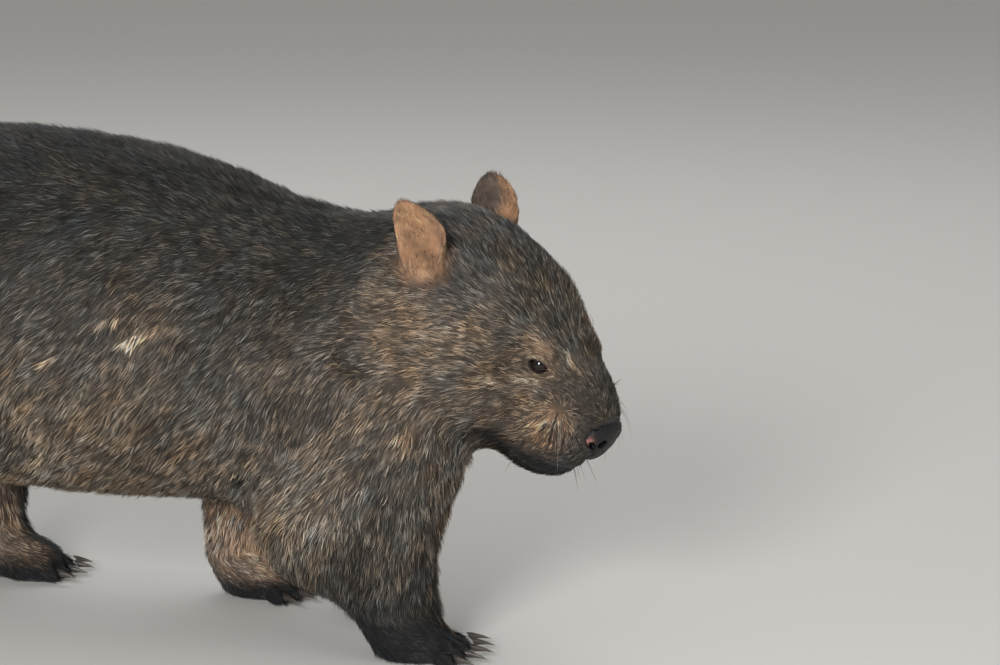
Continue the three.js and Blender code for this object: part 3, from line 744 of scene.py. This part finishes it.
def lid_points(side, skin):
    """Rows of points of both lids, from where they touch the eye, over their rims and out to the face."""
    sizes = bpy.context.scene.head_sizes
    turn = np.linspace(0, math.tau, LID_AROUND, endpoint=False)
    height = np.where(np.sin(turn) > 0, sizes.lid_upper, sizes.lid_lower)
    opening = height * np.sin(turn) * np.abs(np.sin(turn)) ** 0.25 + 0.0008 * np.cos(turn)
    rim = np.stack([np.cos(turn) * sizes.lid_length, opening], axis=1)
    outer = np.stack([np.cos(turn), np.sin(turn)], axis=1) * LID_EDGE
    rows = []
    for reach, rise in ((0.92, -0.0008), (0.97, 0.0003), (1.0, 0.0010), (1.05, LID_THICKNESS)):
        flat = rim * reach
        ball = np.sqrt(np.maximum(EYE_RADIUS**2 - (flat**2).sum(axis=1), (EYE_RADIUS * 0.45) ** 2))
        rows.append(np.c_[flat, np.minimum(ball + rise, lid_height(*flat.T) + 0.0001)])
    for share in np.linspace(0.08, 1, 12):
        flat = rim * 1.05 * (1 - share) + outer * share
        join = ramp(share, 0.25, 1.0)
        face = face_height(side, skin, flat) + 0.0003
        rows.append(np.c_[flat, lid_height(*flat.T) * (1 - join) + face * join])
    return np.stack(rows)


def make_lids(side, skin):
    rows = lid_points(side, skin)
    count, around = rows.shape[:2]
    index = np.arange(count * around).reshape(count, around)
    a, b = index[:-1], np.roll(index[:-1], -1, axis=1)
    c, d = np.roll(index[1:], -1, axis=1), index[1:]
    faces = np.concatenate([np.stack(corners, axis=-1) for corners in ([a, c, b], [a, d, c])]).reshape(-1, 3)
    if side == "left":
        faces = faces[:, ::-1]
    return new_mesh(f"lids_{side}", eye_seat(side) + rows.reshape(-1, 3) @ eye_axes(side), faces)


def under_lids(points):
    """Presses the skin down behind the lids, and tells which points lie there."""
    hidden = np.zeros(len(points), bool)
    for side in SIDES:
        axes = eye_axes(side)
        along, over, out = ((points - eye_seat(side)) @ axes.T).T
        inward = 1 - (along / LID_COVER[0]) ** 2 - (over / LID_COVER[1]) ** 2
        under = (inward > 0) & (out > -EYE_RADIUS)
        drop = np.where(under, 0.0015 * ramp(inward, 0, 0.15) + 0.006 * ramp(inward, 0.2, 0.6), 0)
        points = points - drop[:, None] * axes[2]
        hidden |= under & (inward > 0.12)
    return points, hidden


class WOMBAT_OT_skin(bpy.types.Operator):
    """One skin over trunk, neck, head, ears, legs and tail, inside the coat's tips by the coat's depth"""

    bl_idname = "wombat.skin"
    bl_label = "Skin"

    def execute(self, context):
        sizes = context.scene.coat_sizes
        skin = copy_of(FLESH, "skin")
        shares, _ = part_shares(points_of(skin.data), edges_of(skin.data), 0)
        weigh(skin, "swollen", swelling(points_of(skin.data), shares) / sizes.fold)
        finish_with(skin, "DISPLACE", strength=sizes.fold, mid_level=0, vertex_group="swollen")
        finish_with(skin, "REMESH", mode="VOXEL", voxel_size=sizes.grain)
        self.smooth(skin)
        triangles = len(triangles_of(skin.data))
        if triangles > sizes.skin_faces:
            finish_with(
                skin, "DECIMATE", ratio=sizes.skin_faces / triangles, use_collapse_triangulate=True,
                vertex_group="fine", invert_vertex_group=True, vertex_group_factor=3.0,
            )
        mesh = skin.data
        points, normals, edges = points_of(mesh), normals_of(mesh), edges_of(mesh)
        shares, nearest = part_shares(points, edges, 24)
        inset = (growth_at(points, normals, shares)[:, DEPTH] + swelling(points, shares))[:, None]
        ear = np.isin(nearest, [FLESH.index("ear_right"), FLESH.index("ear_left")])[:, None]
        for _ in range(12):
            inset = np.where(ear, GROWTH["ear"].depth + sizes.bridge, diffuse(inset, edges, 1))
        points = points - normals * inset
        points[:, 2] = np.maximum(points[:, 2], SKIN_FLOOR)
        lids = [make_lids(side, points) for side in SIDES]
        points, hidden = under_lids(points)
        move_to(mesh, points)
        select_only(*lids, skin)
        bpy.ops.object.join()
        self.paint(skin.data, hidden)
        undercoat = coloured_material("undercoat", 0.85, 0.3, grain=0.0012, relief=0.0006, sheen=0.1)
        dress(skin, undercoat, "coat", *FLESH)
        return {"FINISHED"}

    def smooth(self, skin):
        """Closes the folds between the parts, then evens out all but the ears, feet and face."""
        points, edges = points_of(skin.data), edges_of(skin.data)
        shares, _ = part_shares(points, edges, 60)
        detail = detail_at(points, shares)
        fold_width = np.where(detail < 0.5, 0.014, 0)
        folds = np.clip(diffuse(in_folds(skin.data, fold_width)[:, None], edges, 8)[:, 0] * 4, 0, 1)
        nape = np.clip(shares["head"] * (1 - shares["head"] - shares["ear"]) * 8, 0, 1)
        weigh(skin, "folds", np.maximum(folds, np.sqrt(nape) * (1 - detail)))
        weigh(skin, "ear_base", np.clip(shares["ear"] * (1 - shares["ear"]) * 5, 0, 1))
        weigh(skin, "fine", detail * 0.85)
        weigh(skin, "broad", 1 - detail * 0.85)
        for group, rounds in (("folds", 400), ("ear_base", 18), ("broad", 60), ("", 3)):
            finish_with(skin, "SMOOTH", factor=0.5, iterations=rounds, vertex_group=group)

    def paint(self, mesh, hidden):
        """Stores the markings, the lie and the growth of the coat on the skin and its lids, and the skin's
        colour with painted shade under the coat.
        """
        points, normals, edges = points_of(mesh), normals_of(mesh), edges_of(mesh)
        lid_size = (len(points) - len(hidden)) // 2
        on_lid = (np.arange(len(points)) - len(hidden)) % lid_size
        rims = (np.arange(len(points)) >= len(hidden)) & (on_lid < LID_BARE_ROWS * LID_AROUND)
        hidden = np.r_[hidden, np.zeros(lid_size * 2, bool)]
        shares, nearest = part_shares(points, edges, 24)
        growth = diffuse(growth_at(points, normals, shares), edges, 3)
        colour = markings(points, unit(diffuse(normals, edges, 10)), shares)
        growth[hidden | rims | (gap_to("nose", points, 0.05) < 0.0011), COUNT] = 0
        bare = np.maximum(rims, (growth[:, COUNT] < 12) & (shares["ear"] < 0.5))
        colour = blend(colour, linear(bpy.context.scene.coat_colours.skin), bare)
        store(mesh, "lie", "FLOAT_VECTOR", lie_at(points, normals, nearest, edges))
        for column, name in enumerate(("length", "width", "count", "lift"), start=1):
            store(mesh, f"growth_{name}", "FLOAT", growth[:, column])
        store(mesh, "part", "FLOAT", nearest.astype(float))
        store(mesh, "marking", "FLOAT_VECTOR", colour)
        # Painted shade: the skin under the coat is darkened, least where it is bare and on the ears
        shown = np.maximum(bare, shares["ear"] * 0.8)
        shade = UNDERCOAT_PAINTED_SHADE + (1 - UNDERCOAT_PAINTED_SHADE) * shown
        store_colour(mesh, with_scars(points, normals, colour) * shade[:, None])


# The coat

# Where the rear of the trunk ends and its front starts, as shares of its length from the rump
REAR_END, FRONT_START = 0.36, 0.66

# How many tufts share a leader, which long tufts bend, and from what length on
CLUMP, BENT_EVERY, LONG_HAIR = 4, 10, 0.0095

# Corners round a tuft, and its thickness as a share of its width
TUFT_CORNERS, TUFT_FLATNESS = np.radians([210, 330, 90]), 0.7

# Shares of dark and of pale tufts, and the brightness of dark, pale and plain ones half-way and at the tip
DARK_SHARE, PALE_SHARE = 0.28, 0.20
# Brightness at the root of every tuft: partly the hair's own dark root, partly painted shade deep among the
# hairs
ROOT_SHADE = 0.22
MID_SHADES = (0.24, 1.4, 0.95)
TIP_SHADES = (0.18, 2.3, 1.0)
MOST_LIGHT = 1.8


def coat_piece_of(node, points):
    """The name of the coat piece that each root belongs to."""
    kind, side = kind_of(node), node.split("_")[-1]
    if kind == "ear":
        return np.full(len(points), "coat_ear_" + side)
    if kind == "head":
        return np.char.add("coat_head_", np.where((points - EYES_BETWEEN) @ HEAD_LEFT < 0, "right", "left"))
    if kind in ("upper_arm", "forearm", "forepaw"):
        return np.full(len(points), "coat_foreleg_" + side)
    if kind in ("thigh", "shin", "hindfoot"):
        return np.full(len(points), "coat_hindleg_" + side)
    along = (points[:, 0] - TRUNK_LOW[0]) / (TRUNK_HIGH[0] - TRUNK_LOW[0])
    third = np.select([along < REAR_END, along < FRONT_START], ["coat_rear_", "coat_middle_"], "coat_front_")
    return np.char.add(third, np.where(points[:, 1] < 0, "right", "left"))


def sheet_places(name, points):
    """Places on a flat sheet, 0 to 1 each way, of the skin unrolled from round an axis of its own part."""
    kind = name.removeprefix("coat_").split("_")[0]
    if kind == "head":
        middle, axis, start = EYES_BETWEEN - HEAD_UP * 0.03, HEAD_FRONT, HEAD_UP
    elif kind == "ear":
        middle, axis = points.mean(axis=0), long_axis(name.removeprefix("coat_"))
        start = unit(np.cross(axis, HEAD_LEFT))
    elif kind in ("foreleg", "hindleg"):
        middle, axis, start = points.mean(axis=0), DOWN, FORWARD
    else:
        middle, axis, start = (TRUNK_LOW + TRUNK_HIGH) / 2 * [1, 0, 1], FORWARD, -DOWN
    away = points - middle
    side = np.cross(axis, start)
    flat = np.stack([np.arctan2(away @ side, away @ start), away @ axis], axis=1)
    low, high = flat.min(axis=0), flat.max(axis=0)
    return 0.01 + 0.975 * (flat - low) / (high - low)


def tuft_faces(rings):
    """Triangles of a closed three-sided spike of some rings and a tip."""
    faces = [[0, 1, 2]]
    for ring in range(rings - 1):
        for corner in range(3):
            a, b = 3 * ring + corner, 3 * ring + (corner + 1) % 3
            faces += [[a, b + 3, b], [a, a + 3, b + 3]]
    last = 3 * (rings - 1)
    return np.array(faces + [[last + c, last + 3, last + (c + 1) % 3] for c in range(3)])


def tufts(spine, across, upward, widths, colours, normals):
    """Points, faces, colours and shading normals of spikes; a spine has a place for each ring and tip."""
    count, rings = spine.shape[0], spine.shape[1] - 1
    angles = TUFT_CORNERS[None, :, None]
    around = across[:, None] * np.cos(angles) + upward[:, None] * (np.sin(angles) * TUFT_FLATNESS)
    ring_points = [spine[:, i, None] + around * (widths[:, i, None, None] / 2) for i in range(rings)]
    points = np.concatenate(ring_points + [spine[:, -1:]], axis=1)
    size = 3 * rings + 1
    faces = tuft_faces(rings)[None] + (np.arange(count) * size)[:, None, None]
    level = np.r_[np.repeat(np.arange(rings), 3), rings]
    outward = unit(points[:, :-1] - np.repeat(spine[:, :-1], 3, axis=1))
    outward = np.concatenate([outward, upward[:, None]], axis=1)
    facing = unit(normals[:, None] + outward * 1.2)
    return points, faces.reshape(-1, 3), colours[:, level], facing


def tuft_object(name, sets, sheets=None):
    """Joins sets of spikes into one object, with their colours, shading normals and places on a sheet."""
    offset, faces = 0, []
    for points, triangles, _, _ in sets:
        faces.append(triangles + offset)
        offset += points.shape[0] * points.shape[1]
    points, colours, facing = (
        np.concatenate([made[i].reshape(-1, 3) for made in sets]) for i in (0, 2, 3)
    )
    points[:, 2] = np.maximum(points[:, 2], COAT_FLOOR)
    faces = np.concatenate(faces)
    piece = new_mesh(name, points, faces)
    store_colour(piece.data, colours)
    store(piece.data, "custom_normal", "FLOAT_VECTOR", facing)
    if sheets is not None:
        places = []
        for (made, _, _, _), sheet in zip(sets, sheets):
            size = made.shape[1]
            patch = np.stack([np.arange(size) % 3 * 0.0015, np.arange(size) / (size - 1) * 0.003], axis=1)
            places.append((sheet[:, None] + patch).reshape(-1, 2))
        layer = piece.data.uv_layers.new(name="OFBake")
        layer.uv.foreach_set("vector", np.concatenate(places)[faces.ravel()].astype(np.float32).ravel())
    return piece


class WOMBAT_OT_coat(bpy.types.Operator):
    """The coat in tufts that lie along the body, in pieces by part of the body"""

    bl_idname = "wombat.coat"
    bl_label = "Coat"

    def execute(self, context):
        mesh = bpy.data.objects["skin"].data
        roots = scatter(mesh, context.scene.coat_sizes.fullness)
        hair = coloured_material("hair", 0.55, 0.3)
        names = np.empty(len(roots["place"]), "U24")
        for index, node in enumerate(FLESH):
            mine = roots["part"] == index
            names[mine] = coat_piece_of(node, roots["place"][mine])
        for number, name in enumerate(sorted(set(names))):
            mine = {key: value[names == name] for key, value in roots.items()}
            piece = comb(name, mine, SEED + number)
            dress(piece, hair, "ear" if "_ear_" in name else "coat")
        return {"FINISHED"}


def scatter(mesh, fullness):
    """Roots spread over the skin at random, as close as the coat is there."""
    draw = np.random.default_rng(SEED)
    faces = triangles_of(mesh)
    points = points_of(mesh)
    a, b, c = (points[faces[:, i]] for i in range(3))
    area = np.linalg.norm(np.cross(b - a, c - a), axis=1) / 2
    count = read(mesh, "growth_count", 1)[:, 0][faces].mean(axis=1)
    expected = np.cumsum(area * 10_000 * count * fullness)
    total = int(expected[-1])
    picks = np.searchsorted(expected, (np.arange(total) + draw.random(total)) * expected[-1] / total)
    picks = np.minimum(picks, len(faces) - 1)
    u, v = draw.random((2, total))
    over = u + v > 1
    u, v = np.where(over, 1 - u, u), np.where(over, 1 - v, v)
    weights = np.stack([1 - u - v, u, v], axis=1)
    corner = faces[picks]

    def at(values):
        return (values[corner] * weights[..., None]).sum(axis=1)

    growth = {key: at(read(mesh, f"growth_{key}", 1))[:, 0] for key in ("length", "width", "lift")}
    place, normal = at(points), unit(at(normals_of(mesh)))
    return {
        "place": place,
        "normal": normal,
        "lie": unit(at(read(mesh, "lie", 3))),
        "marking": with_scars(place, normal, at(read(mesh, "marking", 3))),
        "part": read(mesh, "part", 1)[:, 0][corner[:, 0]].astype(int),
        **growth,
    }


def comb(name, roots, seed):
    """One piece of the coat: straight tufts that lean on their neighbours, with some long ones that bend."""
    draw = np.random.default_rng(seed)
    place, normal, lie = roots["place"], roots["normal"], roots["lie"]
    count = len(place)
    across = np.cross(lie, normal)
    swing = 0.11 * ripple(place, 0.045, 31) + 0.10 * ripple(place, 0.012, 32) + draw.normal(0, 0.17, count)
    lie = unit(lie * np.cos(swing)[:, None] + across * np.sin(swing)[:, None])
    across = unit(np.cross(lie, normal))
    rise = roots["lift"] * (1 + 0.22 * ripple(place, 0.016, 33) + draw.normal(0, 0.22, count))
    rise = np.clip(rise, 0.04, 1.1)[:, None]
    reach = (roots["length"] * draw.uniform(0.65, 1.2, count))[:, None]
    start = place - normal * roots["width"][:, None]
    turned = rise * 0.35
    mid = start + reach * 0.5 * (lie * np.cos(rise) + normal * np.sin(rise))
    tip = mid + reach * 0.5 * (lie * np.cos(turned) + normal * np.sin(turned))
    leaders = np.sort(draw.choice(count, max(count // CLUMP, 1), replace=False))
    leader = leaders[nearest_of(place[leaders], place)]
    pull = draw.uniform(0.3, 1, count) * bpy.context.scene.coat_sizes.clumping
    tip = tip + (tip[leader] - tip) * pull[:, None]
    mid = mid + (mid[leader] - mid) * pull[:, None] * 0.4
    upward = unit(np.cross(across, tip - start))
    width = roots["width"] * draw.uniform(0.7, 1.3, count)
    colours = tuft_colours(roots["marking"], place, leader, draw)
    bent = (roots["length"] > LONG_HAIR) & (np.arange(count) % BENT_EVERY == 0)
    sheet = sheet_places(name, place)
    sets, sheets = [], []
    for chosen, rings in ((bent, 2), (~bent, 1)):
        if not chosen.any():
            continue
        spine = np.stack([start, mid, tip] if rings == 2 else [start, tip], axis=1)[chosen]
        widths = np.stack([width, width * 0.8], axis=1)[chosen]
        tints = (colours if rings == 2 else colours[:, [0, 2]])[chosen]
        sets.append(tufts(spine, across[chosen], upward[chosen], widths, tints, normal[chosen]))
        sheets.append(sheet[chosen])
    return tuft_object(name, sets, sheets)


def tuft_colours(marking, place, leader, draw):
    """Dark at the root, partly as painted shade deep among the hairs, and banded above, some with pale tips
    and some black, in patches over the coat.
    """
    count = len(place)
    patch = 0.16 * ripple(place, 0.055, 41) + 0.14 * ripple(place, 0.018, 42)
    patch = patch + 0.10 * ripple(place, 0.007, 43)
    light = np.exp(draw.normal(0, 0.36, count) + draw.normal(0, 0.36, count)[leader]) * np.exp(patch)
    light = np.minimum(light, MOST_LIGHT)
    kind = draw.random(count)
    kind = np.where(draw.random(count) < 0.6, kind[leader], kind)
    kinds = [kind < DARK_SHARE, kind < DARK_SHARE + PALE_SHARE]
    mid, tip = (np.select(kinds, shades[:2], shades[2]) for shades in (MID_SHADES, TIP_SHADES))
    shade = np.stack([np.full(count, ROOT_SHADE), mid, tip], axis=1) * light[:, None]
    hue = 0.05 * ripple(place, 0.04, 44) + 0.06 * ripple(place, 0.011, 45)
    warm = 1 + hue[:, None] * np.array([1.0, 0.1, -0.9])
    return np.clip(marking[:, None] * warm[:, None] * shade[..., None], 0.002, 0.9)


# Eyes, nose, claws and whiskers


def eye_material():
    """Wet and dark: a black pupil, a brown iris with rays and a dark rim, and brown beyond it."""
    material, nodes, links = node_material("eye")
    shader = nodes["Principled BSDF"]
    set_inputs(shader, Roughness=0.06, Specular_IOR_Level=0.3, Coat_Weight=0.35, Coat_Roughness=0.02)
    place = nodes.new("ShaderNodeAttribute")
    place.attribute_name = "iris"
    reach = nodes.new("ShaderNodeVectorMath")
    reach.operation = "LENGTH"
    way = nodes.new("ShaderNodeVectorMath")
    way.operation = "NORMALIZE"
    links.new(place.outputs["Vector"], reach.inputs[0])
    links.new(place.outputs["Vector"], way.inputs[0])
    rays = nodes.new("ShaderNodeTexNoise")
    set_inputs(rays, Scale=9)
    links.new(way.outputs["Vector"], rays.inputs["Vector"])
    bands = nodes.new("ShaderNodeValToRGB")
    stops = bands.color_ramp.elements
    stops[0].position, stops[0].color = 0.26, (0.002, 0.002, 0.002, 1)
    stops[1].position, stops[1].color = 0.30, (0.012, 0.006, 0.004, 1)
    stops.new(0.44).color = (0.018, 0.009, 0.005, 1)
    stops.new(0.50).color = (0.003, 0.002, 0.002, 1)
    stops.new(0.60).color = (0.008, 0.006, 0.005, 1)
    half = nodes.new("ShaderNodeMath")
    half.operation = "MULTIPLY"
    half.inputs[1].default_value = 0.5
    links.new(reach.outputs["Value"], half.inputs[0])
    links.new(half.outputs["Value"], bands.inputs["Fac"])
    mottle(material, bands.outputs["Color"], rays.outputs["Fac"], 0.4, 1.7)
    return material


class WOMBAT_OT_eyes(bpy.types.Operator):
    """Both eyes: a ball with the cornea standing out of it"""

    bl_idname = "wombat.eyes"
    bl_label = "Eyes"

    def execute(self, context):
        sizes = context.scene.head_sizes
        material = eye_material()
        for side in SIDES:
            bpy.ops.object.select_all(action="DESELECT")
            bpy.ops.mesh.primitive_uv_sphere_add(segments=96, ring_count=64, radius=EYE_RADIUS)
            eye = context.object
            eye.name = f"eyeball_{side}"
            points = points_of(eye.data)
            away = np.hypot(points[:, 0], points[:, 1])
            dome = np.exp(-((away / sizes.iris) ** 4) * 0.9) * (points[:, 2] > 0)
            iris = np.c_[points[:, :2] / sizes.iris, (points[:, 2] < 0) * 3.0]
            store(eye.data, "iris", "FLOAT_VECTOR", iris)
            points[:, 2] += dome * sizes.cornea
            move_to(eye.data, eye_seat(side) + points @ eye_axes(side))
            if side == "left":
                eye.data.flip_normals()
            dress(eye, material, "eye", f"eye_{side}")
        return {"FINISHED"}


class WOMBAT_OT_nose(bpy.types.Operator):
    """The nose pad: dark pebbled leather, darkened further as painted shade, bare and pinkish at the edge of
    the nostrils
    """

    bl_idname = "wombat.nose"
    bl_label = "Nose"

    def execute(self, context):
        tones = context.scene.coat_colours
        nose = copy_of(["nose"], "nose_pad")
        finish_with(nose, "REMESH", mode="VOXEL", voxel_size=0.0006)
        finish_with(nose, "SMOOTH", factor=0.5, iterations=14)
        mesh = nose.data
        points, normals = points_of(mesh), normals_of(mesh)
        fine = ripple(points, 0.0016, 61) * ripple(points, 0.0024, 62)
        move_to(mesh, points - normals * (0.0004 + 0.00012 * fine[:, None]))
        # The nose tone holds painted shade as well as the leather's own dark colour
        colour = np.broadcast_to(linear(tones.nose), points.shape) * (1 + 0.12 * fine[:, None])
        for side, strength in (("right", 1.0), ("left", 0.6)):
            edge = near(points, on_head(side, *NOSTRIL_EDGE), 0.0042)
            colour = blend(colour, linear(tones.nose_pink), edge * strength)
        store_colour(mesh, colour)
        pebble = context.scene.head_sizes.pebble
        leather = coloured_material(
            "nose leather", 0.5, 0.3, grain=pebble, relief=0.0004, pattern="ShaderNodeTexVoronoi"
        )
        dress(nose, leather, "nose", "nose")
        return {"FINISHED"}


class WOMBAT_OT_claws(bpy.types.Operator):
    """Claws of worn horn, dark at the root and paler at the tip"""

    bl_idname = "wombat.claws"
    bl_label = "Claws"

    def execute(self, context):
        tones = context.scene.coat_colours
        horn = coloured_material("horn", 0.38, 0.5, grain=0.0011, relief=0.00015)
        for node in CLAWS:
            claw = copy_of([node], node.replace("claw", "horn"))
            finish_with(claw, "REMESH", mode="VOXEL", voxel_size=0.0005)
            finish_with(claw, "SMOOTH", factor=0.5, iterations=8)
            mesh = claw.data
            points, normals = points_of(mesh), normals_of(mesh)
            axis = main_axis(points)
            along = points @ axis * np.sign(axis[0])
            along = (along - along.min()) / np.ptp(along)
            around = np.arctan2(normals[:, 2], normals @ np.cross(axis, DOWN))
            streak = np.sin(around * 9 + 4 * ripple(points, 0.02, 71))
            move_to(mesh, points + normals * (0.00006 * streak * (1 - along))[:, None])
            colour = blend(linear(tones.claw_root), linear(tones.claw_tip), along**1.8 * 0.9)
            store_colour(mesh, colour * (1 + 0.16 * streak + 0.12 * ripple(points, 0.004, 72))[:, None])
            dress(claw, horn, "claw", node)
        return {"FINISHED"}


# Steps along a whisker, how many are pale, and the brightness of pale and dark ones at the root
STRAND_STEPS = np.linspace(0, 1, 9)
PALE_WHISKERS = 0.06
WHISKER_SHADES = (0.12, 0.006)


class WOMBAT_OT_whiskers(bpy.types.Operator):
    """Whiskers that fan out from each upper lip, and a few bristles over each eye"""

    bl_idname = "wombat.whiskers"
    bl_label = "Whiskers"

    def execute(self, context):
        sizes = context.scene.coat_sizes
        mesh = bpy.data.objects["skin"].data
        points, normals = points_of(mesh), normals_of(mesh)
        material = coloured_material("whisker", 0.4, 0.5)
        for side in SIDES:
            draw = np.random.default_rng(SEED + len(side))
            hub = on_head(side, *WHISKER_HUB)
            made = []
            haired = (normals @ OUT[side] > 0.1) & (read(mesh, "growth_count", 1)[:, 0] > 20)
            for place, spread, count, low, high in (
                (on_head(side, 0.034, 0.042, -0.031), 0.012, sizes.whiskers, 0.012, 0.030),
                (on_head(side, 0.032, 0.042, -0.038), 0.018, sizes.whiskers // 4, 0.026, 0.040),
                (EYE[side] + HEAD_UP * 0.017 - HEAD_FRONT * 0.004, 0.006, 3, 0.010, 0.016),
            ):
                close = near(points, place, spread) * haired
                chosen = draw.choice(len(points), count, replace=False, p=close / close.sum())
                root, normal = points[chosen], normals[chosen]
                flow = unit(root - hub) + DOWN * 0.3 + draw.normal(0, 0.12, root.shape)
                flow = unit(along_skin(flow, normal))
                length = draw.uniform(low, high, count)
                made.append(self.strands(root, normal, flow, length, sizes.whisker_width, draw))
            dress(tuft_object(f"whiskers_{side}", made), material, "coat")
        return {"FINISHED"}

    def strands(self, root, normal, flow, length, width, draw):
        """Long bristles that leave the skin at a slant and bend towards the ground."""
        steps = STRAND_STEPS[None, :, None]
        lift = np.tan(np.radians(draw.uniform(20, 36, len(root))))[:, None, None]
        bend = draw.uniform(0.05, 0.22, len(root))[:, None, None]
        reach = length[:, None, None]
        rise = 0.5 * lift * (1 - (1 - steps) ** 3)
        spine = root[:, None] - normal[:, None] * 0.0004 + reach * (
            flow[:, None] * steps + normal[:, None] * rise + DOWN * bend * steps**2
        )
        across = unit(np.cross(flow, normal))
        widths = width * (1 - 0.85 * STRAND_STEPS[:-1])[None] * draw.uniform(0.7, 1.1, (len(root), 1))
        pale = draw.random(len(root)) < PALE_WHISKERS
        shade = np.where(pale, *WHISKER_SHADES)[:, None] * (1 + 1.2 * STRAND_STEPS)[None]
        colours = shade[..., None] * np.array([1.0, 0.92, 0.82])
        return tufts(spine, across, unit(np.cross(across, flow)), widths, np.clip(colours, 0, 0.8), normal)


# Stage

# What the camera and the lights look at, and each light's place, width and power
CAMERA_AIM = Vector((0.3408, -0.0323, 0.262))
LIGHTS_AIM = Vector((0.1, 0, 0.2))
LIGHTS = [((0.2, -3.1, 1.3), 0.9, 95), ((2.4, -1.2, 1.2), 1.6, 9), ((-0.5, 1.8, 2.4), 1.8, 24)]


class WOMBAT_OT_stage(bpy.types.Operator):
    """Plain pale floor, soft lights and the camera"""

    bl_idname = "wombat.stage"
    bl_label = "Stage"

    def execute(self, context):
        sizes = context.scene.stage_sizes
        bpy.ops.object.select_all(action="DESELECT")
        bpy.ops.mesh.primitive_plane_add(size=60)
        floor = context.object
        floor.name = "floor"
        material, nodes, _ = node_material("plain floor")
        nodes["Principled BSDF"].inputs["Base Color"].default_value = (*linear(sizes.floor), 1)
        nodes["Principled BSDF"].inputs["Roughness"].default_value = 0.8
        floor.data.materials.append(material)
        turn, level = sizes.turn, math.cos(sizes.height)
        back = Vector((math.sin(turn) * level, -math.cos(turn) * level, math.sin(sizes.height)))
        bpy.ops.object.camera_add(location=CAMERA_AIM + back * sizes.distance)
        camera = context.object
        camera.rotation_euler = (-back).to_track_quat("-Z", "Y").to_euler()
        camera.data.sensor_width = 36
        camera.data.lens = sizes.lens
        context.scene.camera = camera
        for place, width, power in LIGHTS:
            bpy.ops.object.light_add(type="AREA", location=place)
            light = context.object
            light.rotation_euler = (LIGHTS_AIM - Vector(place)).to_track_quat("-Z", "Y").to_euler()
            light.data.size = width
            light.data.energy = power
        world = bpy.data.worlds.new("soft light")
        world.use_nodes = True
        world.node_tree.nodes["Background"].inputs["Color"].default_value = (0.87, 0.865, 0.85, 1)
        world.node_tree.nodes["Background"].inputs["Strength"].default_value = 0.42
        context.scene.world = world
        context.scene.view_settings.view_transform = "Standard"
        return {"FINISHED"}


class WOMBAT_PT_panel(bpy.types.Panel):
    bl_label = "Walking Wombat"
    bl_idname = "WOMBAT_PT_panel"
    bl_space_type = "VIEW_3D"
    bl_region_type = "UI"
    bl_category = "Wombat"

    def draw(self, context):
        for operator in OPERATORS:
            self.layout.operator(operator.bl_idname)


OPERATORS = (
    WOMBAT_OT_skin,
    WOMBAT_OT_coat,
    WOMBAT_OT_eyes,
    WOMBAT_OT_nose,
    WOMBAT_OT_claws,
    WOMBAT_OT_whiskers,
    WOMBAT_OT_stage,
)
GROUPS = {
    "coat_sizes": CoatSizes,
    "head_sizes": HeadSizes,
    "coat_colours": CoatColours,
    "stage_sizes": StageSizes,
}


def register():
    for item in (*GROUPS.values(), *OPERATORS, WOMBAT_PT_panel):
        bpy.utils.register_class(item)
    for name, group in GROUPS.items():
        setattr(bpy.types.Scene, name, bpy.props.PointerProperty(type=group))


def unregister():
    for name in GROUPS:
        delattr(bpy.types.Scene, name)
    for item in (WOMBAT_PT_panel, *reversed(OPERATORS), *GROUPS.values()):
        bpy.utils.unregister_class(item)


def main():
    register()
    bpy.ops.wombat.stage()
    bpy.ops.wombat.skin()
    bpy.ops.wombat.coat()
    bpy.ops.wombat.eyes()
    bpy.ops.wombat.nose()
    bpy.ops.wombat.claws()
    bpy.ops.wombat.whiskers()


if __name__ == "__main__":
    main()
